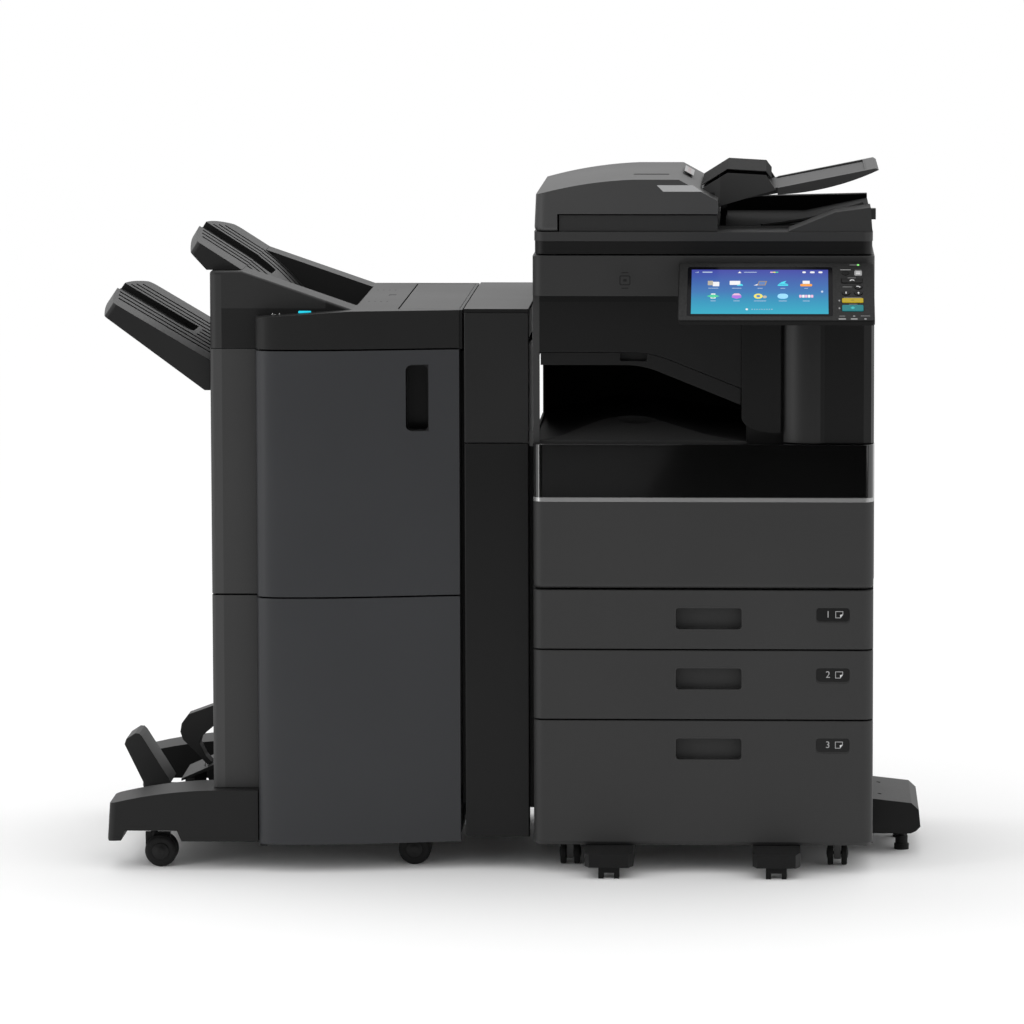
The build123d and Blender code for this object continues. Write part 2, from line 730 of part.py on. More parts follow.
# The panel's own plane: x to the right, y up the slope and z out of its face. Its origin
# is the tilt axis, half the thickness in from the upper edge.
panel_plane = Plane(
    origin=(0, pivot_y, pivot_z),
    x_dir=(1, 0, 0),
    z_dir=(0, -sin(radians(tilt)), cos(radians(tilt))),
)
panel_axis = Axis((0, pivot_y, pivot_z), tuple(panel_plane.z_dir))
glass_rim = 2.0
display_x = (panel_l + 16.0, panel_l + 261.0)
display_v = (-panel_len + half_t + 14, -9.0)
key_depth, key_gap, key_stand, key_len = 6.5, 0.4, 1.0, 6.2
key_mid = panel_r - 37.0
keys = {
    # name: (x, distance down from the tilt axis, width, height)
    "power_key": (key_mid + 10, 27.0, 13.0, 14.0),
    "clear_key": (key_mid - 1, 49.5, 35.0, 14.0),
    "round_key_1": (key_mid + 10, 68.0, 13.5, 13.5),
    "round_key_2": (key_mid - 11, 86.0, 13.5, 13.5),
    "round_key_3": (key_mid + 10, 86.0, 13.5, 13.5),
    "stop_key": (key_mid, 108.0, 36.0, 13.0),
    "start_key": (key_mid, 130.5, 36.0, 18.0),
}


def key_outline(name, grow):
    """The plan of a key, enlarged on every side by grow."""
    x, down, width, height = keys[name]
    with Locations((x, -down)):
        if name.startswith("round"):
            Circle(width / 2 + grow)
        else:
            RectangleRounded(width + 2 * grow, height + 2 * grow, 2.5)


def panel_yz(down, out):
    """A point of the panel's side view: down its slope from the axis, and out of its face."""
    return (
        pivot_y - down * lean_cos - out * lean_sin,
        pivot_z - down * lean_sin + out * lean_cos,
    )


with BuildPart() as control_panel:
    with BuildSketch(panel_plane.offset(-half_t)):
        with Locations(((panel_l + panel_r) / 2, half_t - panel_len / 2)):
            Rectangle(panel_w, panel_len)
    extrude(amount=panel_thick)
    along = control_panel.edges().filter_by(Axis.X)
    fillet(along.sort_by(Axis.Y)[-2:], half_t - 0.1)
    fillet(control_panel.edges().filter_by(panel_axis).sort_by(Axis.Y)[:2], panel_corner)
    # The underside rises to a thin front edge.
    with BuildSketch(Plane.YZ.offset(panel_l - 1)):
        with BuildLine():
            Polyline(
                panel_yz(92, -half_t),
                panel_yz(panel_len - half_t, half_t - panel_lip),
                panel_yz(panel_len, half_t - panel_lip),
                panel_yz(panel_len, -2 * half_t),
                panel_yz(92, -2 * half_t),
                close=True,
            )
        make_face()
    extrude(amount=panel_w + 2, mode=Mode.SUBTRACT)
    face_edge = control_panel.edges().filter_by(Axis.X).sort_by(Axis.Y)[0]
    fillet(face_edge, panel_round)
    for x in knuckle_x:
        # The notch behind each knuckle, open at the upper edge and below.
        with BuildSketch(panel_plane.offset(-half_t - 1)):
            with Locations((x, 2)):
                Rectangle(knuckle_w + 1, 2 * 11.5)
        extrude(amount=half_t + 1 + 8.6, mode=Mode.SUBTRACT)
        rod(
            (x - knuckle_w / 2 - 7, x + knuckle_w / 2 + 7), pivot_y, pivot_z, pin_r + pin_gap,
            "x", mode=Mode.SUBTRACT,
        )
    with BuildSketch(panel_plane.offset(half_t - glass_rim)):
        with Locations(((display_x[0] + display_x[1]) / 2, (display_v[0] + display_v[1]) / 2)):
            RectangleRounded(
                display_x[1] - display_x[0] + 0.4, display_v[1] - display_v[0] + 0.4, 4.2
            )
    extrude(amount=glass_rim + 1, mode=Mode.SUBTRACT)
    for name in keys:
        with BuildSketch(panel_plane.offset(half_t - key_depth)):
            key_outline(name, key_gap)
        extrude(amount=key_depth + 1, mode=Mode.SUBTRACT)
save(control_panel, "control_panel")

with BuildPart() as display_glass:
    with BuildSketch(panel_plane.offset(half_t - glass_rim)):
        with Locations(((display_x[0] + display_x[1]) / 2, (display_v[0] + display_v[1]) / 2)):
            RectangleRounded(display_x[1] - display_x[0], display_v[1] - display_v[0], 4)
    extrude(amount=glass_rim)
save(display_glass, "display_glass")

for key_name in keys:
    with BuildPart() as key:
        with BuildSketch(panel_plane.offset(half_t + key_stand - key_len)):
            key_outline(key_name, 0)
        extrude(amount=key_len)
        fillet(key.faces().sort_by(panel_axis)[-1].edges(), 0.6)
    save(key, key_name)

# ---------------------------------------------------------------- document feeder

lid_l, lid_r = cop_l + 3.0, cop_r - 3.0
pad_in = 1.0
feeder_r = cop_l + 317.0
feeder_y = (lid_y[0], lid_y[0] + 498.0)
body_l = cop_l + 46.0
body_h = 28.5
cover_pivot = (lid_l + 8.0, z_feed + 9.0)
cover_pin_r = 3.0
cover_ear_y = (feeder_y[0] + 80.0, feeder_y[0] + 400.0)
ear_w = 14.0
tray_pivot = (feeder_r + 8.0, z_feed + 40.0)
plate_y = (front + 95.0, front + 418.0)
cheek_w = 12.0
tongue_y = (plate_y[0] + cheek_w + 2, plate_y[1] - cheek_w - 2)
tray_post_y = (tongue_y[0] + 14.0, tongue_y[1] - 24.0)
post_t = 10.0
well_y = (lid_y[0] + 100.0, lid_y[1] - 30.0)

with BuildPart() as platen_lid:
    front_slab(
        (lid_l + pad_in, lid_r - pad_in),
        (lid_y[0] + pad_in, lid_y[1]),
        (z_lid, z_rim),
        corner_r - pad_in,
    )
    front_slab((lid_l, lid_r), lid_y, (z_rim, z_feed), corner_r)
    # The output well: a floor that rises to the right, a ramp in front and a fence behind.
    prism(
        [
            (feeder_r + 1, z_feed),
            (lid_r - 3, z_feed),
            (lid_r - 3, z_feed + 26),
            (feeder_r + 150, z_feed + 3),
            (feeder_r + 1, z_feed + 3),
        ],
        well_y,
    )
    prism(
        [
            (feeder_r + 120, z_feed),
            (lid_r - 1, z_feed),
            (lid_r - 4, z_feed + 42),
            (lid_r - 64, z_feed + 34),
            (feeder_r + 122, z_feed + 2),
        ],
        (lid_y[0] + 3, well_y[0]),
    )
    prism(
        [
            (feeder_r + 1, z_feed),
            (lid_r - 3, z_feed),
            (lid_r - 3, z_feed + 33),
            (feeder_r + 1, z_feed + 27),
        ],
        (well_y[1], lid_y[1]),
    )
    block((lid_r - 6, lid_r + 5), (front + 30, front + 54), (z_feed + 20, z_feed + 38))
    for x in lid_arm_x:
        arm = (x, x + lid_arm_w)
        block(arm, (lid_y[1] - 1, lid_pin_y), (lid_pin_z - 8, lid_pin_z + 8))
        rod(arm, lid_pin_y, lid_pin_z, 9, "x")
        rod((x - 1, x + lid_arm_w + 1), lid_pin_y, lid_pin_z, 4.3, "x", mode=Mode.SUBTRACT)
    # Ears for the feeder's top cover, and posts for the document tray.
    for y in cover_ear_y:
        block((lid_l + 4, lid_l + 12), (y, y + ear_w), (z_feed, cover_pivot[1] + 3))
        rod(cover_pivot[0], (y - 5, y + ear_w + 5), cover_pivot[1], cover_pin_r, "y")
    for y in tray_post_y:
        block((tray_pivot[0] - 5, tray_pivot[0] + 5), (y, y + post_t), (z_feed, tray_pivot[1] + 4))
        rod(tray_pivot[0], (y - 4, y + post_t + 4), tray_pivot[1], 2.5, "y")
save(platen_lid, "platen_lid")

with BuildPart() as feeder_body:
    block((body_l, feeder_r - 1), (feeder_y[0] + 4, feeder_y[1]), (z_feed, z_feed + body_h))
    # The paper track across its top, and the bed of the feed roller.
    block(
        (body_l + 30, feeder_r),
        (tongue_y[0] - 6, tongue_y[1] + 6),
        (z_feed + body_h - 3, z_feed + body_h + 1),
        mode=Mode.SUBTRACT,
    )
    rod(body_l + 190, (tongue_y[0], tongue_y[1]), z_feed + body_h - 4, 11, "y", Mode.SUBTRACT)
    rod(body_l + 190, (tongue_y[0] - 4, tongue_y[1] + 4), z_feed + body_h - 4, 3, "y")
    for i in range(3):
        low = tongue_y[0] + 70 + i * 60
        rod(body_l + 190, (low, low + 34), z_feed + body_h - 4, 9, "y")
save(feeder_body, "feeder_body")

# The top cover swings up from its left edge. It carries the arch over the paper entrance.
arch = [
    (feeder_r - 30, z_feed + 67.5),
    (feeder_r - 1, z_feed + 51),
    (feeder_r + 3.5, z_feed + 38.5),
    (cop_l + 416, z_feed + 66),
    (cop_l + 399.4, z_feed + 91.5),
    (cop_l + 332.6, z_feed + 95.3),
]
slope_top = (cop_l + 250.6, z_top)
slope_low = (feeder_r, z_feed + 53.0)
cover_sag = z_feed + body_h + 2.2
latch_slot = ((cop_l + 170, cop_l + 231), (front + 143, front + 163))
with BuildPart() as feeder_top_cover:
    with BuildSketch(at_front(feeder_y[0])):
        with BuildLine():
            Polyline(
                (lid_l + 3, z_feed + 63.5),
                (lid_l, z_feed + 1),
                (body_l - 3.0, z_feed + 1),
                (body_l - 3.0, cover_sag),
                (feeder_r, cover_sag),
                slope_low,
                slope_top,
                (cop_l + 172, z_top),
            )
            ThreePointArc(
                (cop_l + 172, z_top), (cop_l + 86, z_top - 8.5), (lid_l + 3, z_feed + 63.5)
            )
        make_face()
    extrude(amount=-(feeder_y[1] - feeder_y[0]))
    upright = feeder_top_cover.edges().filter_by(
        lambda e: e.center().X < lid_l + 3 and e.center().Y < feeder_y[0] + 1 and e.length > 40
    )
    fillet(upright, 20)
    fillet(
        feeder_top_cover.edges().filter_by(Axis.Y).group_by(Axis.X)[0].sort_by(Axis.Z)[0], 7
    )
    prism(
        [
            (body_l + 6, z_feed + 20),
            (body_l + 6, z_feed + 62),
            (cop_l + 172, z_top - 7),
            (cop_l + 248, z_top - 7),
            (feeder_r - 5, z_feed + 49),
            (feeder_r - 5, z_feed + 20),
        ],
        (feeder_y[0] + 6, feeder_y[1] - 6),
        mode=Mode.SUBTRACT,
    )
    block(*latch_slot, (z_top - 5, z_top + 1), mode=Mode.SUBTRACT)
    for y in cover_ear_y:
        block(
            (lid_l - 1, cover_pivot[0] + 13),
            (y - 0.6, y + ear_w + 0.6),
            (z_feed, cover_pivot[1] + 13),
            mode=Mode.SUBTRACT,
        )
        rod(
            cover_pivot[0], (y - 6, y + ear_w + 6), cover_pivot[1], cover_pin_r + pin_gap,
            "y", mode=Mode.SUBTRACT,
        )
    # The arch: two cheeks and a roof over the document tray's tongue.
    prism(arch, plate_y)
    prism(
        [
            (feeder_r - 14, z_feed + 30),
            (feeder_r - 14, z_feed + 74),
            (cop_l + 334, z_feed + 88.5),
            (cop_l + 420, z_feed + 85.5),
            (cop_l + 420, z_feed + 30),
        ],
        (plate_y[0] + cheek_w, plate_y[1] - cheek_w),
        mode=Mode.SUBTRACT,
    )
save(feeder_top_cover, "feeder_top_cover")

# Document tray: a tongue under the arch and a wider plate beyond it, one moulding.
tongue_x = (feeder_r + 6.0, cop_l + 418.0)
tray_rise = 0.189
tray_top_l = z_feed + 69.5 - (cop_l + 418 - tongue_x[0]) * tray_rise
plate_tip = (left_end + total_w - side_reach + 8.0, z_top + 14.0)
with BuildPart() as document_tray:
    prism(
        [
            (tongue_x[0], tray_top_l),
            (tongue_x[0], tray_top_l - 8),
            (cop_l + 420, z_feed + 59.5),
            (cop_l + 420, z_feed + 69.8),
        ],
        tongue_y,
    )
    with BuildSketch(at_front(plate_y[0])):
        with BuildLine():
            Polyline(
                (plate_tip[0], plate_tip[1] - 3),
                (plate_tip[0] - 5, plate_tip[1]),
                (cop_l + 419, z_feed + 69.7),
                (cop_l + 419, z_feed + 58),
            )
            ThreePointArc(
                (cop_l + 419, z_feed + 58),
                (cop_l + 525, z_feed + 75),
                (plate_tip[0], plate_tip[1] - 3),
            )
        make_face()
    extrude(amount=-(plate_y[1] - plate_y[0]))
    # A shallow bed between two raised edges.
    prism(
        [
            (cop_l + 430, z_feed + 69.5),
            (cop_l + 417, z_feed + 67),
            (cop_l + 417, z_feed + 80),
            (plate_tip[0] - 30, plate_tip[1] + 5),
            (plate_tip[0] - 22, plate_tip[1] - 6.5),
        ],
        (plate_y[0] + 16, plate_y[1] - 16),
        mode=Mode.SUBTRACT,
    )
    for y in tray_post_y:
        for low in (y - 10.5, y + post_t + 0.5):
            rod(tray_pivot[0], (low, low + 10), tray_pivot[1], 7, "y")
            block(
                (tray_pivot[0] - 4, tray_pivot[0] + 6),
                (low, low + 10),
                (tray_pivot[1], tray_top_l - 6),
            )
        block(
            (tray_pivot[0] - 9, tray_pivot[0] + 10),
            (y - 0.5, y + post_t + 0.5),
            (tray_pivot[1] - 8, tray_pivot[1] + 7.5),
            mode=Mode.SUBTRACT,
        )
        rod(
            tray_pivot[0], (y - 5, y + post_t + 5), tray_pivot[1], 2.5 + pin_gap,
            "y", mode=Mode.SUBTRACT,
        )
save(document_tray, "document_tray")

guide_x = (tongue_x[0] + 24.0, tongue_x[0] + 60.0)
guide_h, guide_t = 10.0, 3.0
for name, y in (
    ("guide_front", tongue_y[0] + 34.0),
    ("guide_rear", tongue_y[1] - 34.0 - guide_t),
):
    with BuildPart() as guide:
        low = [tray_top_l + (x - tongue_x[0]) * tray_rise + slide_gap for x in guide_x]
        prism(
            [
                (guide_x[0], low[0]),
                (guide_x[1], low[1]),
                (guide_x[1], low[1] + guide_h),
                (guide_x[0] + 6, low[0] + guide_h),
                (guide_x[0], low[0] + 5),
            ],
            (y, y + guide_t),
        )
    save(guide, name)

# ---------------------------------------------------------------- casters

ped_wheel_r, ped_wheel_w, ped_hub = 21.0, 10.0, 7.0
fin_wheel_r, fin_wheel_w, fin_hub = 28.0, 17.0, 6.0
trail = 13.0
ped_casters = {
    "wheel_copier_front_left": (cop_l + 60.0, front + 96.0),
    "wheel_copier_front_right": (cop_r - 60.0, front + 96.0),
    "wheel_copier_rear_left": (cop_l + 60.0, back - 60.0),
    "wheel_copier_rear_right": (cop_r - 60.0, back - 60.0),
}
axle_r = 3.0
door_l = fin_l + 81.0
foot_y = (front + 10.0, front + 122.0)
rear_foot_y = (fin_back + rear_reach - 105.0, fin_back + rear_reach)
swivel_spots = {
    "front_left": (fin_l - 107.0, (foot_y[0] + foot_y[1]) / 2),
    "front_right": (fin_r - 102.0, front + 97.0),
}
fixed_spots = {
    "rear_left": (fin_l - 107.0 + trail, (rear_foot_y[0] + rear_foot_y[1]) / 2),
    "rear_right": (fin_r - 102.0 + trail, (rear_foot_y[0] + rear_foot_y[1]) / 2),
}
foot_low, foot_arch, beam_low, stand_top = 51.5, 70.0, 60.0, 141.0
stem_r = 6.0
mount_top = {"left": foot_arch, "right": beam_low}


def wheel_pair(name, x, y, radius, width, hub, axis, round_r):
    """Twin wheels and the axle that joins them."""
    with BuildPart() as wheels:
        for low in (-hub - width, hub):
            if axis == "x":
                rod((x + low, x + low + width), y, radius, radius, "x")
            else:
                rod(x, (y + low, y + low + width), radius, radius, "y")
        rims = wheels.edges().filter_by(GeomType.CIRCLE)
        fillet(rims.filter_by(lambda e: abs(e.radius - radius) < 0.1), round_r)
        if axis == "x":
            rod((x - hub - 2, x + hub + 2), y, radius, axle_r, "x")
        else:
            rod(x, (y - hub - 2, y + hub + 2), radius, axle_r, "y")
    save(wheels, name)


for name, (x, y) in ped_casters.items():
    wheel_pair(name, x, y, ped_wheel_r, ped_wheel_w, ped_hub, "x", 2.5)
for name, (x, y) in swivel_spots.items():
    wheel_pair(
        f"wheel_finisher_{name}", x + trail, y, fin_wheel_r, fin_wheel_w, fin_hub, "y", 7.5
    )
for name, (x, y) in fixed_spots.items():
    wheel_pair(f"wheel_finisher_{name}", x, y, fin_wheel_r, fin_wheel_w, fin_hub, "y", 7.5)


def finisher_fork(x, y, top, stem_x):
    """The web between a finisher caster's wheels, and its stem or plate above."""
    web = fin_hub - 0.8
    block((x - 15, x + 15), (y - web, y + web), (16, fin_wheel_r + 8))
    block((min(x, stem_x) - 15, max(x, stem_x) + 15), (y - web, y + web), (fin_wheel_r + 6, 58.5))
    rod(x, (y - web - 1, y + web + 1), fin_wheel_r, axle_r + pin_gap, "y", mode=Mode.SUBTRACT)


for name, (x, y) in swivel_spots.items():
    with BuildPart() as fork:
        finisher_fork(x + trail, y, beam_low, x)
        rod(x, y, (40, mount_top[name.split("_")[1]] + 12), stem_r, "z")
    save(fork, f"fork_finisher_{name}")

with BuildPart() as caster_mounts:
    web = ped_hub - 0.8
    for x, y in ped_casters.values():
        block((x - web, x + web), (y - 12, y + 12), (12, z_ped))
        block((x - 20, x + 20), (y - 20, y + 20), (z_ped - 4, z_ped))
        rod((x - web - 1, x + web + 1), y, ped_wheel_r, axle_r + pin_gap, "x", Mode.SUBTRACT)
    for name, (x, y) in fixed_spots.items():
        finisher_fork(x, y, 60, x)
        top = mount_top[name.split("_")[1]]
        block((x - 15, x + 15), (y - web, y + web), (58, top))
save(caster_mounts, "caster_mounts")

# ---------------------------------------------------------------- finisher

z_seam = 480.0
z_body = 906.0  # top of the frame, doors and side covers
z_flat = 974.0
z_tower = 1040.0
frame_y = (front + 62.0, fin_back - skin)
door_r = fin_r - 5.5
door_back = front + 52.0
door_pivot = (door_l + 8.0, front + 8.0)
strip_z = (z_body + 3.0, z_flat)
slot_y = (front + 150.0, front + 430.0)
slot_w = 12.0
slot_z = (430.0, 895.0)
hook_z = (836.0, 880.0)
paper_y = (front + 120.0, front + 460.0)
paper_z = (884.0, 899.0)
plate_t = 1.6
door_pin_len = 7.0


def door_front():
    """The front line of the doors and the top strip in plan, from left to right."""
    Bezier(
        (door_l, front + 14),
        (door_l, front - 4),
        (door_l + 20, front - 10),
        (door_l + 58, front - 10),
    )
    Bezier(
        (door_l + 58, front - 10),
        (door_l + 150, front - 10),
        (door_r - 110, front + 12),
        (door_r, front + 31),
    )


def curved_door(name, low, high, pocket):
    """A finisher door, hinged near its front left corner."""
    with BuildPart() as door:
        with BuildSketch(Plane.XY.offset(low)):
            with BuildLine():
                door_front()
                Polyline(
                    (door_r, front + 31),
                    (door_r, front + 43),
                    (door_r - 22, door_back),
                    (door_l, door_back),
                    (door_l, front + 14),
                )
            make_face()
        extrude(amount=high - low)
        block(
            (door_l + 30, door_r - 105),
            (front + 24, door_back + 1),
            (low + 12, high - 12),
            mode=Mode.SUBTRACT,
        )
        for z in ((low - 1, low + door_pin_len + 1), (high - door_pin_len - 1, high + 1)):
            rod(*door_pivot, z, pin_r + pin_gap, "z", mode=Mode.SUBTRACT)
        if pocket:
            front_pocket(pocket[0], pocket[1], front - 12, 58, 9)
    save(door, name)


grip_x = (door_r - 91.0, door_r - 53.0)
curved_door("upper_door", z_seam + seam / 2, z_body, (grip_x, (767.0, 880.0)))
curved_door("lower_door", floor_gap, z_seam - seam / 2, None)

with BuildPart() as finisher_frame:
    block((fin_l + skin, fin_r - skin), frame_y, (stand_top, z_body - 1))
    block(
        (fin_l + skin + wall, fin_r - skin - wall),
        (frame_y[0] - 1, frame_y[1] - wall),
        (stand_top + wall, z_body - 1 - wall),
        mode=Mode.SUBTRACT,
    )
    block((fin_l, fin_r), paper_y, paper_z, mode=Mode.SUBTRACT)
    # The hinge plate between the two doors, with a pin above and below it.
    block(
        (door_pivot[0] - 6, door_pivot[0] + 6),
        (door_pivot[1] - 5, frame_y[0] + 8),
        (z_seam - plate_t / 2, z_seam + plate_t / 2),
    )
    rod(*door_pivot, (z_seam - door_pin_len, z_seam + door_pin_len), pin_r, "z")
    # A cross shelf at the seam, for the folding unit below and the stapler above.
    block(
        (fin_l + skin + 1, fin_r - skin - 1),
        (frame_y[0], frame_y[1] - 1),
        (z_seam - 4, z_seam + 4),
    )
save(finisher_frame, "finisher_frame")

arm_pivot = (fin_l - 12.0, 243.0)
arm_y = (front + 282.0, front + 318.0)
ear_t = 8.0
with BuildPart() as finisher_covers:
    for low, high in (
        (stand_top + 1, z_seam - seam / 2),
        (z_seam + seam / 2, z_body),
    ):
        with BuildSketch(Plane.XY.offset(low)):
            with BuildLine():
                Polyline(
                    (door_l - 2, side_plane),
                    (fin_l, side_plane),
                    (fin_l, fin_back),
                    (fin_l + skin, fin_back),
                    (fin_l + skin, side_plane + skin),
                    (door_l - 2, side_plane + skin),
                    close=True,
                )
            make_face()
        extrude(amount=high - low)
    corners = finisher_covers.edges().filter_by(Axis.Z).filter_by(
        lambda e: abs(e.center().X - fin_l) < 0.1 and abs(e.center().Y - side_plane) < 0.1
    )
    fillet(corners, 7)
    for y in slot_y:
        block((fin_l - 1, fin_l + skin + 0.5), (y, y + slot_w), slot_z, mode=Mode.SUBTRACT)
    # Ears and pin of the booklet arm.
    for y in (arm_y[0] - 1 - ear_t, arm_y[1] + 1):
        block(
            (arm_pivot[0] - 8, fin_l + 1), (y, y + ear_t), (arm_pivot[1] - 8, arm_pivot[1] + 8)
        )
    rod(arm_pivot[0], (arm_y[0] - 2, arm_y[1] + 2), arm_pivot[1], pin_r, "y")
    block((fin_l + skin, fin_r - skin), (frame_y[1], fin_back), (stand_top + 1, z_body))
    for i in range(vent_count):
        low = 200 + i * vent_pitch
        slot = ((fin_l + 60, fin_l + 200), (frame_y[1] - 1, fin_back + 1), (low, low + vent_h))
        block(*slot, mode=Mode.SUBTRACT)
save(finisher_covers, "finisher_covers")

# Stand: a long foot under each side, joined by beams and a plate.
foot_r = door_l - 1.5
beam_x = (foot_r - 1, fin_r - 6)
arch_x = (fin_l - 152.0, fin_l - 62.0)
slide_top = (fin_l - 3.0, 153.8)
slide_foot = (fin_l - 79.0, 120.2)
slide_t = 8.0
stopper_pivot = (foot_tip + 55.0, 100.0)
stopper_y = (front + 255.0, front + 345.0)


def foot_outline():
    """The side profile of a foot, low at its outer tip and higher under the body."""
    Polyline(
        (foot_r, stand_top),
        (foot_r, foot_low),
        (arch_x[1] + 8, foot_low),
        (arch_x[1], foot_arch),
        (arch_x[0], foot_arch),
        (arch_x[0] - 7, foot_low + 1),
        (foot_tip + 2, foot_low),
        (foot_tip, foot_low + 4),
        (foot_tip + 4, 117),
    )
    ThreePointArc((foot_tip + 4, 117), (foot_tip + 96, 134.4), (fin_l + 6, stand_top))
    Line((fin_l + 6, stand_top), (foot_r, stand_top))


with BuildPart() as stand:
    for y0, y1 in (foot_y, rear_foot_y):
        with BuildSketch(at_front(y0)):
            with BuildLine():
                foot_outline()
            make_face()
        extrude(amount=-(y1 - y0))
    tips = stand.edges().filter_by(lambda e: e.center().X < foot_tip + 6 and e.length > 40)
    tips = tips.filter_by(lambda e: abs(e.tangent_at(0.5).Z) > 0.9)
    fillet(tips, 13)
    # The beams under the body, and the plates between the feet.
    block(beam_x, (front + 62, foot_y[1] + 28), (beam_low, stand_top))
    block(beam_x, (rear_foot_y[0] - 20, frame_y[1] + skin), (beam_low, stand_top))
    block(beam_x, (rear_foot_y[0] - 20, rear_foot_y[1] - 20), (beam_low, beam_low + 30))
    block((foot_tip + 24, foot_r), (foot_y[1] - 1, rear_foot_y[0] + 1), (52, 62))
    block(beam_x, (foot_y[1] + 20, rear_foot_y[0]), (beam_low, beam_low + 10))
    # The lower door's hinge lug.
    lug = (door_pivot[0] - 6, door_pivot[0] + 6)
    block(lug, (door_pivot[1] - 5, front + 76), (floor_gap - 4.5, floor_gap - 0.5))
    block(lug, (front + 64, front + 76), (floor_gap - 4.5, beam_low + 1))
    rod(*door_pivot, (floor_gap - 0.6, floor_gap + door_pin_len), pin_r, "z")
    # Bores for the swivel casters' stems.
    for name, (x, y) in swivel_spots.items():
        top = mount_top[name.split("_")[1]]
        rod(x, y, (top - 12, top + 14), stem_r + pin_gap, "z", mode=Mode.SUBTRACT)
    # The booklet slide, on a rib, and the ears of the booklet stopper.
    prism(
        [
            (slide_foot[0], slide_foot[1] - slide_t / 2),
            slide_foot,
            slide_top,
            (slide_top[0], slide_top[1] - slide_t),
        ],
        (front + 250, front + 400),
    )
    prism(
        [(fin_l - 60, 61), (fin_l - 60, 126), (fin_l - 40, 134), (fin_l - 40, 61)],
        (front + 292, front + 308),
    )
    for y in (stopper_y[0] - 11, stopper_y[1] + 1):
        block((stopper_pivot[0] - 8, stopper_pivot[0] + 8), (y, y + 10), (61, 108))
    rod(stopper_pivot[0], (stopper_y[0] - 5, stopper_y[1] + 5), stopper_pivot[1], pin_r, "y")
save(stand, "stand")

with BuildPart() as booklet_stopper:
    prism(
        [
            (stopper_pivot[0] - 52, 181),
            (stopper_pivot[0] - 49, 190),
            (stopper_pivot[0] - 33, 200.5),
            (stopper_pivot[0] - 26, 200),
            (stopper_pivot[0] - 21, 195),
            (stopper_pivot[0] + 30, 113),
            (stopper_pivot[0] + 12, 94),
            (stopper_pivot[0] - 10, 94),
        ],
        stopper_y,
    )
    rod(
        stopper_pivot[0], (stopper_y[0] - 1, stopper_y[1] + 1), stopper_pivot[1], pin_r + pin_gap,
        "y", mode=Mode.SUBTRACT,
    )
save(booklet_stopper, "booklet_stopper")

with BuildPart() as booklet_arm:
    prism(
        [
            (arm_pivot[0] + 6, arm_pivot[1] + 10.5),
            (arm_pivot[0] - 56.5, arm_pivot[1] - 12.5),
            (arm_pivot[0] - 69, arm_pivot[1] - 29),
            (arm_pivot[0] - 71.5, arm_pivot[1] - 44),
            (arm_pivot[0] - 66.5, arm_pivot[1] - 58.5),
            (arm_pivot[0] - 58, arm_pivot[1] - 66.5),
            (arm_pivot[0] - 40, arm_pivot[1] - 85),
            (arm_pivot[0] - 23.8, arm_pivot[1] - 102.3),
            (arm_pivot[0] - 15.6, arm_pivot[1] - 98.4),
            (arm_pivot[0] - 27, arm_pivot[1] - 86),
            (arm_pivot[0] - 37, arm_pivot[1] - 65),
            (arm_pivot[0] - 33.5, arm_pivot[1] - 52.5),
            (arm_pivot[0] - 24, arm_pivot[1] - 43.5),
            (arm_pivot[0] - 12, arm_pivot[1] - 33.5),
            (arm_pivot[0] + 6, arm_pivot[1] - 18.5),
        ],
        arm_y,
    )
    rod(
        arm_pivot[0], (arm_y[0] - 1, arm_y[1] + 1), arm_pivot[1], pin_r + pin_gap,
        "y", mode=Mode.SUBTRACT,
    )
save(booklet_arm, "booklet_arm")

# Trays. The upper one is fixed in the well of the top cover, the lower one rides on the
# slots of the left cover.
well_in = (front + 128.0, front + 520.0)
well_r = fin_l + 235.0
tray_gap = 0.3
upper_y = (front + 60.0, front + 598.0)
lower_y = (front + 60.0, front + 572.0)
finger_half = 54.0  # half breadth of the finger slot
finger_depth = 11.0
slot_corner = 30.0
groove_w, groove_depth = 15.0, 4.0
groove_pitch = 42.0
groove_count = 3  # on either side of the finger slot
groove_start = 28.0  # first groove's middle, beyond the finger slot
lip = 8.0  # smooth border at a tray's tip
tip_r = (10.0, 25.0)  # front and rear corners of a tray's tip
bed_t = 20.0

# The upper tray's side view: a straight slope, an arc and a steeper foot.
upper_slope, foot_slope = radians(32.6), radians(50.0)
upper_bend = (fin_l + 33.0, 1054.0)
bend_r = 370.0
foot_z = 912.0
upper_root = (fin_l - 7.0, z_tower + tray_gap)
upper_rise = 1.087  # slope of the underside outside the finisher
# The lower tray's, with a straight slope.
lower_top = ((fin_l - 167.0, 982.0), (fin_l - 2.0, 884.0))
lower_root = (fin_l - 12.0, 832.0)
lower_rise = 0.741
# Each tip: the middle of its lower edge in x, that edge's corners, and how far the end face
# leans in for each millimetre up.
upper_nose, upper_corners, upper_lean = fin_l - 50.0, (fin_l - 23.0, fin_l - 3.0), 0.617
lower_nose, lower_corners, lower_lean = left_end, (fin_l - 176.0, fin_l - 165.0), 0.677


def on_arc(angle):
    """A point of the upper bed's arc, where its slope has the given angle."""
    middle = (
        upper_bend[0] - bend_r * sin(upper_slope),
        upper_bend[1] - bend_r * cos(upper_slope),
    )
    return (middle[0] + bend_r * sin(angle), middle[1] + bend_r * cos(angle), angle)


def upper_line(x):
    """The upper bed's side view from x, on its straight slope, down to its foot."""
    start = (x, upper_bend[1] - (x - upper_bend[0]) * tan(upper_slope), upper_slope)
    bend = on_arc(foot_slope)
    foot = (bend[0] + (bend[1] - foot_z) / tan(foot_slope), foot_z, foot_slope)
    return [start, on_arc(upper_slope), on_arc((upper_slope + foot_slope) / 2), bend, foot]


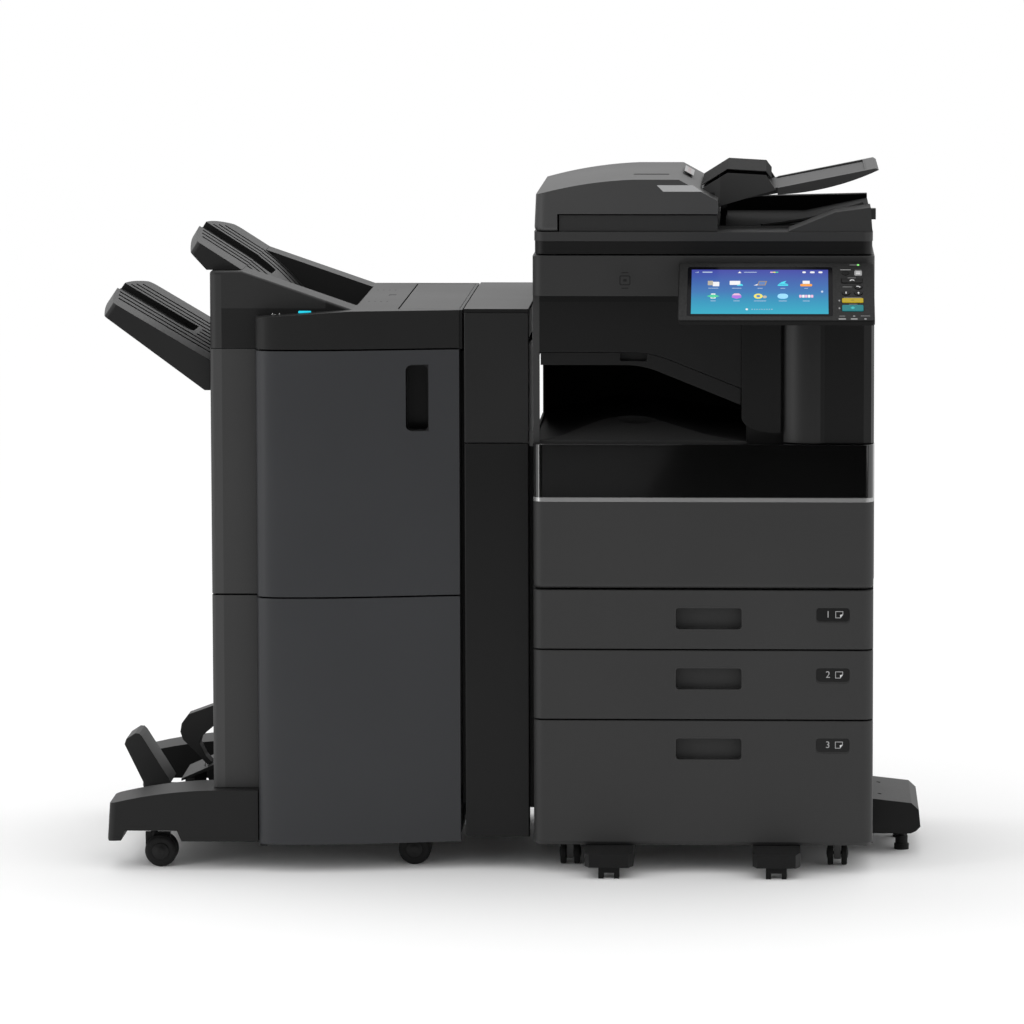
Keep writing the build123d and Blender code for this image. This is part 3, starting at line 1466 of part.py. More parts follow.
def lower_line(x):
    """The lower bed's side view from x down to its foot."""
    run, drop = lower_top[1][0] - lower_top[0][0], lower_top[0][1] - lower_top[1][1]
    angle = atan2(drop, run)
    return [(x, lower_top[0][1] - (x - lower_top[0][0]) * drop / run, angle), (*lower_top[1], angle)]


def shifted(line, out):
    """The points of a side view, moved out of its face."""
    return [(x + out * sin(angle), z + out * cos(angle)) for x, z, angle in line]


def draw(points):
    """Draws a side view: one straight run, or two joined by an arc."""
    Line(points[0], points[1])
    if len(points) > 2:
        ThreePointArc(*points[1:4])
        Line(points[3], points[4])


def strip(line, depth, y, mode):
    """A strip along a bed's side view, from just above it down to a depth."""
    above, below = shifted(line, 3), shifted(line, -depth)
    with BuildSketch(at_front(y[0])) as side:
        with BuildLine():
            draw(above)
            draw(below)
            Line(above[0], below[0])
            Line(above[-1], below[-1])
        make_face()
    extrude(side.sketch, amount=-(y[1] - y[0]), mode=mode)


def finger_slot(line, nose, y, end_x):
    """The solid that a finger slot takes out of a tray, open at the tray's tip."""
    middle = (y[0] + y[1]) / 2
    with BuildPart() as slot:
        strip(line(nose - 10), finger_depth, (middle - finger_half, middle + finger_half), Mode.ADD)
        with BuildSketch() as plan:
            with Locations(((nose - 30 + end_x) / 2, middle)):
                Rectangle(end_x - nose + 30, 2 * finger_half)
            inner = plan.vertices().group_by(Axis.X)[-1].sort_by(Axis.Y)
            fillet(inner[0], slot_corner)
        extrude(plan.sketch, amount=2 * z_top, mode=Mode.INTERSECT)
    return slot.part


def shape_tip(height, nose, corners, lean, y):
    """Rounds a tray's outer end as seen from above, with a leaning end face."""
    middle = (nose, (y[0] + y[1]) / 2)
    with BuildSketch(Plane.XY.offset(height)) as plan:
        with BuildLine():
            TangentArc(middle, (corners[0], y[0]), tangent=(0, -1))
            TangentArc(middle, (corners[1], y[1]), tangent=(0, 1))
            Polyline((corners[0], y[0]), (fin_r, y[0]), (fin_r, y[1]), (corners[1], y[1]))
        make_face()
        outer = plan.vertices().filter_by(lambda v: nose + 1 < v.X < fin_r - 1)
        fillet(outer.sort_by(Axis.Y)[0], tip_r[0])
        outer = plan.vertices().filter_by(lambda v: nose + 1 < v.X < fin_r - 1)
        fillet(outer.sort_by(Axis.Y)[-1], tip_r[1])
    steep = (1 + lean**2) ** 0.5
    along = Vector(lean / steep, 0, 1 / steep)
    extrude(plan.sketch, amount=260, dir=along, both=True, mode=Mode.INTERSECT)


def grooves(line, height, nose, corners, lean, y):
    """The long grooves on either side of a tray's finger slot."""
    middle, half = (y[0] + y[1]) / 2, (y[1] - y[0]) / 2
    up = line(nose)[0][1] - height
    for side, corner in zip((-1, 1), corners):
        for i in range(groove_count):
            offset = finger_half + groove_start + i * groove_pitch
            edge = nose + (corner - nose) * (offset / half) ** 2
            at = middle + side * offset
            groove = (at - groove_w / 2, at + groove_w / 2)
            strip(line(edge + up * lean / (1 + lean) + lip), groove_depth, groove, Mode.SUBTRACT)


upper_slot = finger_slot(upper_line, upper_nose, upper_y, fin_l + 84)
with BuildPart() as upper_tray:
    far = upper_nose - 30
    bed = upper_line(far)
    rim_end = far + (bed[0][1] - upper_root[1]) / tan(upper_slope)
    far_low = (far, upper_root[1] + (upper_root[0] - far) * upper_rise)
    prism([bed[0][:2], (rim_end, upper_root[1]), upper_root, far_low], upper_y)
    # The bed in the well, with a flat underside over the tower's left wall.
    face, low = shifted(bed, 0), shifted(bed, -bed_t)
    low[0] = (low[0][0] + (low[0][1] - upper_root[1]) / tan(upper_slope), upper_root[1])
    low[-1] = (low[3][0] + (low[3][1] - foot_z) / tan(foot_slope), foot_z)
    with BuildSketch(at_front(well_in[0] + 1)):
        with BuildLine():
            draw(face)
            draw(low)
            Line(face[-1], low[-1])
            Polyline(face[0], far_low, upper_root, low[0])
        make_face()
    extrude(amount=-(well_in[1] - well_in[0] - 2))
    upper_height = upper_root[1] + (upper_root[0] - upper_nose) * upper_rise
    upper_tip = (upper_height, upper_nose, upper_corners, upper_lean, upper_y)
    shape_tip(*upper_tip)
    grooves(upper_line, *upper_tip)
    add(upper_slot, mode=Mode.SUBTRACT)
save(upper_tray, "upper_tray")

lower_slot = finger_slot(lower_line, lower_nose, lower_y, fin_l - 53)
with BuildPart() as lower_tray:
    far = lower_nose - 30
    far_low = (far, lower_root[1] + (lower_root[0] - far) * lower_rise)
    foot = (fin_l - 2, lower_root[1])
    prism([lower_line(far)[0][:2], lower_top[1], foot, lower_root, far_low], lower_y)
    lower_height = lower_root[1] + (lower_root[0] - lower_nose) * lower_rise
    lower_tip = (lower_height, lower_nose, lower_corners, lower_lean, lower_y)
    shape_tip(*lower_tip)
    grooves(lower_line, *lower_tip)
    add(lower_slot, mode=Mode.SUBTRACT)
    # Three short grooves between the finger slot's end and the foot.
    middle = (lower_y[0] + lower_y[1]) / 2
    for i in range(-1, 2):
        at = middle + i * groove_pitch
        groove = (at - groove_w / 2, at + groove_w / 2)
        strip(lower_line(fin_l - 46), groove_depth, groove, Mode.SUBTRACT)
    for y in slot_y:
        block((fin_l - 3, fin_l + skin - 0.4), (y + 0.4, y + slot_w - 0.4), hook_z)
save(lower_tray, "lower_tray")

flap_x = (fin_l + 323.0, fin_r - 5.0)
flap_y = (side_plane + 14.0, fin_back - 18.0)
flap_t = 6.0
flap_pin = (flap_y[1] - 4.0, z_flat - flap_t / 2)
flap_pin_r = 1.8
brow_r = 5.0  # front edge of the tower and its slope


with BuildPart() as finisher_top_cover:
    prism(
        [
            (fin_l, z_body + 1),
            (fin_l, z_tower),
            (fin_l + 55, z_tower),
            (fin_l + 245, z_flat),
            (fin_r, z_flat),
            (fin_r, z_body + 1),
        ],
        (side_plane, fin_back),
    )
    round_edge = finisher_top_cover.edges().filter_by(Axis.Z).filter_by(
        lambda e: abs(e.center().X - fin_l) < 0.1 and abs(e.center().Y - side_plane) < 0.1
    )
    fillet(round_edge, 12)
    brow = finisher_top_cover.edges().filter_by(
        lambda e: abs(e.center().Y - side_plane) < 0.1
        and e.center().Z > z_flat + 5
        and abs(e.tangent_at(0.5).Z) < 0.9
    )
    fillet(brow, brow_r)
    # The curved front strip, whose top slopes down to the left.
    with BuildSketch(Plane.XY.offset(strip_z[0])):
        with BuildLine():
            door_front()
            Polyline(
                (door_r, front + 31),
                (door_r, side_plane + 8),
                (door_l, side_plane + 8),
                (door_l, front + 14),
            )
        make_face()
    extrude(amount=strip_z[1] - strip_z[0])
    prism(
        [
            (door_l - 1, z_flat - 11),
            (fin_l + 245, z_flat),
            (fin_l + 245, z_flat + 1),
            (door_l - 1, z_flat + 1),
        ],
        (front - 40, side_plane),
        mode=Mode.SUBTRACT,
    )
    # The well of the upper tray, whose floor follows the bed's underside.
    seat = shifted(upper_line(fin_l), -bed_t - tray_gap)
    seat_x = seat[0][0] + (seat[0][1] - z_tower - 30) / tan(upper_slope)
    seat[0] = (seat_x, z_tower + 30)
    seat_z = foot_z - tray_gap
    seat[-1] = (seat[3][0] + (seat[3][1] - seat_z) / tan(foot_slope), seat_z)
    with BuildSketch(at_front(well_in[0])):
        with BuildLine():
            draw(seat)
            Polyline(
                seat[-1],
                (well_r, seat_z),
                (well_r + 13, z_flat),
                (well_r + 13, z_tower + 30),
                seat[0],
            )
        make_face()
    extrude(amount=-(well_in[1] - well_in[0]), mode=Mode.SUBTRACT)
    # Underside hollow, seat and pin holes of the flap.
    block(
        (well_r + 20, fin_r - 6),
        (side_plane + 8, fin_back - 6),
        (z_body, z_flat - flap_t - 7),
        mode=Mode.SUBTRACT,
    )
    block(flap_x, flap_y, (z_flat - flap_t - 0.5, z_flat + 1), mode=Mode.SUBTRACT)
    rod(
        (flap_x[0] - 4, flap_x[1] + 3.5), flap_pin[0], flap_pin[1], flap_pin_r + pin_gap,
        "x", mode=Mode.SUBTRACT,
    )
    # Hinge pin of the upper door.
    rod(*door_pivot, (z_body - door_pin_len, strip_z[0] + 1), pin_r, "z")
save(finisher_top_cover, "finisher_top_cover")

with BuildPart() as finisher_flap:
    block(
        (flap_x[0] + 2.8, flap_x[1] - 0.8),
        (flap_y[0] + 0.8, flap_pin[0]),
        (z_flat - flap_t, z_flat),
    )
    rod((flap_x[0] + 0.8, flap_x[1] - 0.8), *flap_pin, flap_t / 2, "x")
    rod((flap_x[0] - 3, flap_x[1] + 2.5), *flap_pin, flap_pin_r, "x")
save(finisher_flap, "finisher_flap")

# ---------------------------------------------------------------- punch unit

punch_low, punch_top = 59.0, 976.0
punch_seam = 745.0
punch_y = (front + 30.0, front + 590.0)
punch_front_t = 20.0
punch_step = 12.0  # the body is narrower than its covers, on the copier's side
punch_pivot = (punch_l + 6.0, punch_y[0] + 6.0)
punch_pin_r = 2.5
with BuildPart() as punch_unit:
    body_y = (punch_y[0] + punch_front_t, punch_y[1])
    block((punch_l, punch_r - punch_step), body_y, (punch_low, punch_top - 6))
    block(
        (punch_l + skin, punch_r - punch_step - skin),
        (body_y[0] - 1, body_y[1] - skin),
        (punch_low + skin, punch_top - 6 - skin),
        mode=Mode.SUBTRACT,
    )
    front_slab(
        (punch_l, punch_r), (punch_y[0], body_y[0] + 1), (punch_low, punch_seam - seam / 2), 2.5
    )
    block((punch_l, punch_r), punch_y, (punch_top - 6, punch_top))
    # Docking plates towards the copier and the finisher.
    block((punch_r - punch_step, cop_l), (front + 60, front + 300), (105, z_tray - 10))
    block((fin_r - skin, punch_l), (front + 70, front + 560), (110, z_body - 6))
    block((fin_r - skin - 1, punch_r), paper_y, paper_z, mode=Mode.SUBTRACT)
    # Hinge pins of the upper door.
    rod(*punch_pivot, (punch_top - 14, punch_top - 5), punch_pin_r, "z")
    rod(*punch_pivot, (punch_seam - seam / 2 - 1, punch_seam + 8), punch_pin_r, "z")
save(punch_unit, "punch_unit")

with BuildPart() as punch_door:
    front_slab(
        (punch_l, punch_r),
        (punch_y[0], punch_y[0] + punch_front_t - 2),
        (punch_seam + seam / 2 - 1, punch_top - 7),
        2.5,
    )
    for z in ((punch_seam, punch_seam + 9), (punch_top - 15, punch_top)):
        rod(*punch_pivot, z, punch_pin_r + pin_gap, "z", mode=Mode.SUBTRACT)
save(punch_door, "punch_door")
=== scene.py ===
# %% [markdown]
# # A photocopier with a console finisher
# The machine is made of a copier body with three paper drawers, a document feeder, a
# tilting control panel, a narrow punch unit and a tall finisher with two sloping trays.
# Its shapes come packed from CAD as a fixed frame. What is made here is the look: plastics
# with their grain, a lit screen, keys, marks, badges, caster hubs, screws and a smoked lid.

import json
import math

import bmesh
import bpy
from mathutils import Matrix, Vector


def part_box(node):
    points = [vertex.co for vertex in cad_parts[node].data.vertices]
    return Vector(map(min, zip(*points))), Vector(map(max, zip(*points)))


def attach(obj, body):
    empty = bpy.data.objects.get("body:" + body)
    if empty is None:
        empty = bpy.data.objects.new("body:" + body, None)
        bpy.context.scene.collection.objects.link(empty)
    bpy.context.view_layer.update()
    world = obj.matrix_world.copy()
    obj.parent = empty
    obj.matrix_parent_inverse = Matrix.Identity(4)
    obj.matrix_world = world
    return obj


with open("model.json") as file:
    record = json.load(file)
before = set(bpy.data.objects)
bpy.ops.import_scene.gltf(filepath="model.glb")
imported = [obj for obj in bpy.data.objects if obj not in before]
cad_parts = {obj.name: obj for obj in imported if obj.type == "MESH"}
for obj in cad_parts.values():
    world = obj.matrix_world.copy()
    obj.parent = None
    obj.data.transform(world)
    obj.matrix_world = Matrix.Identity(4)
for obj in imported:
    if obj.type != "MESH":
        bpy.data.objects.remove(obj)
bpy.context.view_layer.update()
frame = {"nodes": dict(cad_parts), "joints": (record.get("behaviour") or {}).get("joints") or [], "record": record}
nodes = frame["nodes"]
record = frame["record"]

# %% [markdown]
# A few places are used again and again, so they get names once. Each comes from a CAD
# node's box, from a joint or from a stated opening, so nothing is fitted by eye.

# %% Named places
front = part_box("upper_drawer")[0].y
copier_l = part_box("upper_drawer")[0].x
copier_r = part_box("upper_drawer")[1].x
glass_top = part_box("platen_glass")[1].z
lid_low, lid_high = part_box("platen_lid")
finisher_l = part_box("finisher_top_cover")[0].x
drawers = ("upper_drawer", "middle_drawer", "lower_drawer")
openings = {o["name"]: o["box_m"] for o in record["physics"]["openings"]}
joints = {j["name"]: j for j in frame["joints"]}
hinge = Vector(joints["panel_hinge"]["pos_m"])
print("drawer fronts at y", round(front, 4), "panel hinge", [round(v, 4) for v in hinge])

# %% [markdown]
# ## Camera and light
# A long lens far away keeps the upright edges nearly parallel, as in a catalogue picture.
# The turn is built from three plain rotations, and a small shift keeps the verticals calm.

# %% Camera
lens_mm, sensor_mm = 197.58, 36.0
turn, dip, roll = (math.radians(a) for a in (1.679, 5.99, -0.068))
camera_data = bpy.data.cameras.new("camera")
camera_data.lens = lens_mm
camera_data.sensor_width = sensor_mm
camera_data.shift_x = -0.1
camera_data.shift_y = -0.1
camera_data.clip_end = 200
camera = bpy.data.objects.new("camera", camera_data)
bpy.context.scene.collection.objects.link(camera)
spot = Vector((copier_l + 0.4208, front - 9.5665, 1.8102))
camera.matrix_world = (
    Matrix.Translation(spot)
    @ Matrix.Rotation(turn, 4, "Z")
    @ Matrix.Rotation(math.pi / 2 - dip, 4, "X")
    @ Matrix.Rotation(roll, 4, "Z")
)
bpy.context.scene.camera = camera
bpy.context.scene.view_settings.view_transform = "Standard"
print("camera", [round(v, 3) for v in spot], "lens", lens_mm)

# %% [markdown]
# Dark plastic shows its shape by what it reflects, so the set is built with care. Its flat
# sheets come from one small function. Setting a socket by name is needed everywhere, so two
# helpers do it: they take a number or link another node's output.

# %% Helpers for nodes, materials and flat sheets
def add_node(tree, kind, **inputs):
    """Adds a shader node. Each input is a number, a tuple or another node's socket."""
    node = tree.nodes.new("ShaderNode" + kind)
    set_inputs(tree, node, **inputs)
    return node


def set_inputs(tree, node, **inputs):
    """Sets or links a node's inputs. An underscore stands for a space in an input's name."""
    for name, value in inputs.items():
        socket = node.inputs[name.replace("_", " ")]
        if isinstance(value, bpy.types.NodeSocket):
            tree.links.new(value, socket)
        else:
            socket.default_value = value


def new_material(name, **inputs):
    """A material with one Principled shader; returns it, its tree and its shader."""
    material = bpy.data.materials.new(name)
    material.use_nodes = True
    tree = material.node_tree
    shader = tree.nodes["Principled BSDF"]
    set_inputs(tree, shader, **inputs)
    return material, tree, shader


def stage_sheet(name, corners, tone, shine=0.0, glow=0.0, roughness=1.0):
    """A flat grey sheet through four corners, which isn't part of the object."""
    material = new_material(
        name, Base_Color=(tone, tone, tone, 1), Roughness=roughness, Specular_IOR_Level=shine,
        Emission_Color=(tone, tone, tone, 1), Emission_Strength=glow,
    )[0]
    mesh = bpy.data.meshes.new(name)
    mesh.from_pydata(corners, [], [(0, 1, 2, 3)])
    sheet = bpy.data.objects.new(name, mesh)
    bpy.context.scene.collection.objects.link(sheet)
    sheet.data.materials.append(material)
    return sheet


print("stage helpers ready")

# %% [markdown]
# A white room lights the machine evenly, and a black card in front keeps the fronts dark. A
# pale card draws the slanted shine on the black band. The cards are seen only in
# reflections, as the black flags of a studio would be.

# %% World, floor and cards
world = bpy.data.worlds.new("studio")
world.use_nodes = True
background = world.node_tree.nodes["Background"]
set_inputs(world.node_tree, background, Color=(1, 1, 1, 1), Strength=1.0)
bpy.context.scene.world = world

half = 40.0
floor_corners = [(-half, -half, 0), (half, -half, 0), (half, half, 0), (-half, half, 0)]
stage_sheet("floor", floor_corners, 1.0, roughness=0.9)
card_x, card_foot, card_top = 5.5, -0.4, 4.5
card_corners = [
    (x, front - 3.2, z)
    for x, z in ((-card_x, card_foot), (card_x, card_foot), (card_x, card_top), (-card_x, card_top))
]
# The pale card's slanted right edge is what the black band shows as a diagonal.
pale_corners = [
    (copier_l + x, front - 3.1, z)
    for x, z in ((-0.834, 0.27), (0.1165, 0.2795), (0.189, 0.401), (-0.834, 0.41))
]
cards = [
    stage_sheet("dark_card", card_corners, 0.0),
    stage_sheet("pale_card", pale_corners, 0.17, shine=0.5, glow=0.05),
]
for card in cards:
    for ray in ("camera", "diffuse", "transmission", "volume_scatter", "shadow"):
        setattr(card, "visible_" + ray, False)
print("floor", 2 * half, "m across;", len(cards), "cards, seen in reflections only")


# %% [markdown]
# Two tall softboxes draw the bright bands on the curved doors, and a weak one above lifts
# the tops.

# %% Softboxes
def softbox(name, place, aim, size, power):
    """A rectangular lamp at a place, turned towards a point."""
    data = bpy.data.lights.new(name, "AREA")
    data.shape = "RECTANGLE"
    data.size, data.size_y = size
    data.energy = power
    lamp = bpy.data.objects.new(name, data)
    bpy.context.scene.collection.objects.link(lamp)
    lamp.location = place
    lamp.rotation_euler = (Vector(aim) - Vector(place)).to_track_quat("-Z", "Y").to_euler()
    return lamp


softbox("left_strip", (-2.9, front - 2.1, 1.3), (-0.35, front, 0.7), (0.7, 2.4), 22)
softbox("right_strip", (2.6, front - 2.3, 1.4), (0.3, front, 0.7), (0.5, 2.2), 6)
softbox("overhead", (-0.1, 0.5, 3.4), (0.0, 0.1, 0.9), (2.4, 1.2), 12)

# %% [markdown]
# ## Shared effects
# Moulded plastic is never one flat tone. Five effects come back in the finishes, so each is
# a node group that is built once: the mould's fine grain, a net of dimples, a rounded edge
# that is lightened for wear and as a painted sheen, a slow unevenness with dust, and a box
# that says where a part of one piece lies.

# %% A helper for node groups
def new_group(name, inputs, outputs):
    """A shader node group with named sockets; returns the tree, its input and its output."""
    tree = bpy.data.node_groups.new(name, "ShaderNodeTree")
    for socket, kind, value in inputs:
        made = tree.interface.new_socket(name=socket, in_out="INPUT", socket_type=kind)
        if value is not None:
            made.default_value = value
    for socket, kind in outputs:
        tree.interface.new_socket(name=socket, in_out="OUTPUT", socket_type=kind)
    return tree, tree.nodes.new("NodeGroupInput"), tree.nodes.new("NodeGroupOutput")


def math_node(tree, operation, a, b=None, clamp=False):
    """One Math node; a and b are sockets or numbers. Returns its output."""
    node = tree.nodes.new("ShaderNodeMath")
    node.operation = operation
    node.use_clamp = clamp
    for socket, value in zip(node.inputs, (a, b)):
        if isinstance(value, bpy.types.NodeSocket):
            tree.links.new(value, socket)
        elif value is not None:
            socket.default_value = value
    return node.outputs[0]


FLOAT, VECTOR = "NodeSocketFloat", "NodeSocketVector"
print("group helpers ready")

# %% [markdown]
# The grain is the spark-eroded texture of the mould. Two noises of different size make it,
# and only a Bump node in each material reads it.

# %% Moulded grain
grain, grain_in, grain_out = new_group(
    "moulded_grain", [("Grains per metre", FLOAT, 1500.0)], [("Height", FLOAT)]
)
here = add_node(grain, "TexCoord").outputs["Object"]
scale = grain_in.outputs["Grains per metre"]
third = math_node(grain, "MULTIPLY", scale, 0.3)
fine = add_node(grain, "TexNoise", Vector=here, Scale=scale, Detail=2.0)
coarse = add_node(grain, "TexNoise", Vector=here, Scale=third, Detail=1.0)
both = math_node(grain, "ADD", fine.outputs["Fac"], coarse.outputs["Fac"])
grain.links.new(math_node(grain, "MULTIPLY", both, 0.5), grain_out.inputs["Height"])
print("group", grain.name)

# %% [markdown]
# The drawer fronts and the front cover carry a fine net of square dimples. It runs round
# the corner, so one direction follows x plus y and the other follows z. Two sine waves
# multiplied make the dimples.

# %% Dimple net
net, net_in, net_out = new_group(
    "dimple_net", [("Pitch", FLOAT, 0.0032)], [("Height", FLOAT)]
)
here = add_node(net, "TexCoord").outputs["Object"]
parts = add_node(net, "SeparateXYZ", Vector=here)
around = math_node(net, "ADD", parts.outputs["X"], parts.outputs["Y"])
waves = []
for along in (around, parts.outputs["Z"]):
    turns = math_node(net, "DIVIDE", along, net_in.outputs["Pitch"])
    wave = math_node(net, "SINE", math_node(net, "MULTIPLY", turns, 2 * math.pi))
    waves.append(math_node(net, "MULTIPLY_ADD", wave, 0.5))
    waves[-1].node.inputs[2].default_value = 0.5
dimple = math_node(net, "MULTIPLY", waves[0], waves[1])
net.links.new(dimple, net_out.inputs["Height"])
print("group", net.name)

# %% [markdown]
# Real edges are rounded by half a millimetre or more, and hands polish them. The Bevel
# node gives a normal that turns over the edge. Where it differs from the flat normal there
# is an edge, and that difference is the mask. The recipe lightens edges by this mask, partly
# for wear and partly as a painted sheen of light caught on the rounding.

# %% Rounded, rubbed edge with painted sheen
rub_and_sheen, rub_and_sheen_in, rub_and_sheen_out = new_group(
    "rubbed_edge", [("Radius", FLOAT, 0.0012)], [("Normal", VECTOR), ("Edge", FLOAT)]
)
bevel = add_node(rub_and_sheen, "Bevel", Radius=rub_and_sheen_in.outputs["Radius"])
bevel.samples = 4
flat = add_node(rub_and_sheen, "NewGeometry")
dot = rub_and_sheen.nodes.new("ShaderNodeVectorMath")
dot.operation = "DOT_PRODUCT"
rub_and_sheen.links.new(bevel.outputs["Normal"], dot.inputs[0])
rub_and_sheen.links.new(flat.outputs["Normal"], dot.inputs[1])
away = math_node(rub_and_sheen, "SUBTRACT", 1.0, dot.outputs["Value"])
rub_and_sheen.links.new(math_node(rub_and_sheen, "MULTIPLY", away, 4.0, clamp=True), rub_and_sheen_out.inputs["Edge"])
rub_and_sheen.links.new(bevel.outputs["Normal"], rub_and_sheen_out.inputs["Normal"])
print("group", rub_and_sheen.name)

# %% [markdown]
# Over a wide panel the tone drifts a little, and fine dust settles on what faces up. Both
# are slow masks: one from a large noise, one from the height part of the normal.

# %% Drift and dust
drift, drift_in, drift_out = new_group(
    "drift_and_dust", [("Patches per metre", FLOAT, 5.0)], [("Drift", FLOAT), ("Dust", FLOAT)]
)
here = add_node(drift, "TexCoord").outputs["Object"]
scale = drift_in.outputs["Patches per metre"]
slow = add_node(drift, "TexNoise", Vector=here, Scale=scale, Detail=3.0)
specks = add_node(drift, "TexNoise", Vector=here, Scale=260.0)
flat = add_node(drift, "NewGeometry")
parts = add_node(drift, "SeparateXYZ", Vector=flat.outputs["Normal"])
up = math_node(drift, "SUBTRACT", parts.outputs["Z"], 0.55)
up = math_node(drift, "MULTIPLY", up, 2.2, clamp=True)
drift.links.new(slow.outputs["Fac"], drift_out.inputs["Drift"])
drift.links.new(math_node(drift, "MULTIPLY", up, specks.outputs["Fac"]), drift_out.inputs["Dust"])
print("group", drift.name)

# %% [markdown]
# One CAD piece can hold two finishes, such as a drawer's grained front and the plain box
# behind it. Instead of cutting it, a mask says what lies inside a box in the object's own
# coordinates, which move with the piece.

# %% Box mask
boxed, boxed_in, boxed_out = new_group(
    "inside_box", [("Low", VECTOR, None), ("High", VECTOR, None)], [("Inside", FLOAT)]
)
here = add_node(boxed, "SeparateXYZ", Vector=add_node(boxed, "TexCoord").outputs["Object"])
low = add_node(boxed, "SeparateXYZ", Vector=boxed_in.outputs["Low"])
high = add_node(boxed, "SeparateXYZ", Vector=boxed_in.outputs["High"])
inside = None
for i in range(3):
    above = math_node(boxed, "GREATER_THAN", here.outputs[i], low.outputs[i])
    below = math_node(boxed, "LESS_THAN", here.outputs[i], high.outputs[i])
    for test in (above, below):
        inside = test if inside is None else math_node(boxed, "MULTIPLY", inside, test)
boxed.links.new(inside, boxed_out.inputs["Inside"])
print("group", boxed.name)

# %% [markdown]
# ## Finishes
# Three small tools come first: one places a group in a material, one mixes two tones or
# two numbers by a mask, and one turns a grey as it is seen into the linear value that a
# shader needs.

# %% Tools for the recipes
def put_group(tree, group, **inputs):
    """Places a group in a material and sets its inputs."""
    node = tree.nodes.new("ShaderNodeGroup")
    node.node_tree = group
    set_inputs(tree, node, **inputs)
    return node


def mix(tree, factor, a, b):
    """Mixes two numbers or two colours, each a socket or a value, by a factor socket."""
    node = tree.nodes.new("ShaderNodeMix")
    numbers = isinstance(b, (int, float))
    node.data_type = "FLOAT" if numbers else "RGBA"
    first = 2 if numbers else 6
    for i, value in ((0, factor), (first, a), (first + 1, b)):
        if isinstance(value, bpy.types.NodeSocket):
            tree.links.new(value, node.inputs[i])
        else:
            node.inputs[i].default_value = value if numbers else (*value, 1)
    return node.outputs[0 if numbers else 2]


def grey(level):
    """A nearly neutral grey from the tone that it shows as, 0 to 255."""
    share = level / 255
    linear = share / 12.92 if share < 0.04045 else ((share + 0.055) / 1.055) ** 2.4
    return (linear, linear, linear)


print("a grey of 47 is", round(grey(47)[0], 4), "in linear light")

# %% [markdown]
# A moulded plastic is one recipe with different numbers: its colour, how rough it is, how
# deep the grain, how wide the rounded edge. The recipe below wires the groups to one
# Principled shader. Zones are a list of boxes that take another colour and roughness, and
# where a fifth value is given also another strength of reflection.

# %% The recipe for moulded plastic
def moulded(
    name, colour, roughness, grains=1500, depth=0.00004, edge=0.0012, rub_and_sheen_tone=1.6,
    specular=0.3, dust=0.25, zones=(), with_net=False, coat=0.0, metallic=0.0,
):
    """A moulded plastic with grain, soft edges lightened for wear and painted sheen, slow drift, dust and coloured
    zones.
    """
    material, tree, shader = new_material(
        name, Specular_IOR_Level=specular, Coat_Weight=coat, Coat_Roughness=0.06,
        Metallic=metallic,
    )
    patches = put_group(tree, drift, Patches_per_metre=4.0)
    edges = put_group(tree, rub_and_sheen, Radius=edge)
    texture = put_group(tree, grain, Grains_per_metre=float(grains))
    tone = mix(
        tree, patches.outputs["Drift"], [c * 0.9 for c in colour], [c * 1.1 for c in colour]
    )
    rough = mix(tree, patches.outputs["Drift"], roughness - 0.04, roughness + 0.04)
    height = texture.outputs["Height"]
    if with_net:
        dimples = put_group(tree, net).outputs["Height"]
        darker = math_node(tree, "MULTIPLY", dimples, 0.22)
        tone = mix(tree, darker, tone, [c * 0.55 for c in colour])
        height = math_node(tree, "SUBTRACT", height, dimples)
    for zone_low, zone_high, zone_colour, zone_rough, *zone_shine in zones:
        mask = put_group(tree, boxed, Low=zone_low, High=zone_high).outputs["Inside"]
        tone = mix(tree, mask, tone, zone_colour)
        rough = mix(tree, mask, rough, zone_rough)
        if zone_shine:
            set_inputs(tree, shader, Specular_IOR_Level=mix(tree, mask, specular, zone_shine[0]))
    # Edges are lightened by the mask: partly wear, partly a painted sheen where the rounding catches light.
    worn_and_sheen = math_node(tree, "MULTIPLY", edges.outputs["Edge"], 0.35)
    tone = mix(tree, worn_and_sheen, tone, [min(1.0, c * rub_and_sheen_tone + 0.004) for c in colour])
    settled = math_node(tree, "MULTIPLY", patches.outputs["Dust"], dust)
    tone = mix(tree, settled, tone, (0.12, 0.12, 0.12))
    bump = add_node(tree, "Bump", Distance=depth, Height=height, Normal=edges.outputs["Normal"])
    set_inputs(tree, shader, Base_Color=tone, Roughness=rough, Normal=bump.outputs["Normal"])
    return material


def finish_nodes(material, *names):
    """Gives CAD nodes their finish."""
    for name in names:
        slots = nodes[name].data.materials
        slots.clear()
        slots.append(material)


def smooth_plastic(material_name, tone, roughness, *names, zones=()):
    """The plain smooth plastic of covers, in a grey tone, for CAD nodes."""
    material = moulded(material_name, grey(tone), roughness, grains=900, zones=zones)
    finish_nodes(material, *names)


print("recipe ready")


# %% [markdown]
# The fronts of the copier share one dark grained plastic with a net of dimples. Behind each
# front the drawer is a plain black box with a bright lift plate on its floor, so a zone
# covers everything behind the front plate and a second one the plate.

# %% Copier fronts, drawers and cabinet
far = 2  # beyond the machine on every side, for zones that are open at one end
front_grey = grey(47)
for name in drawers:
    low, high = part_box(name)
    behind = ((-far, front + 0.029, 0), (far, far, far), grey(30), 0.42)
    plate_high = (high.x - 0.05, far, low.z + 0.034)
    plate_zone = ((low.x + 0.05, front + 0.06, 0), plate_high, grey(120), 0.3)
    zones = [behind, plate_zone]
    finish_nodes(moulded(name + "_plastic", front_grey, 0.5, with_net=True, zones=zones), name)

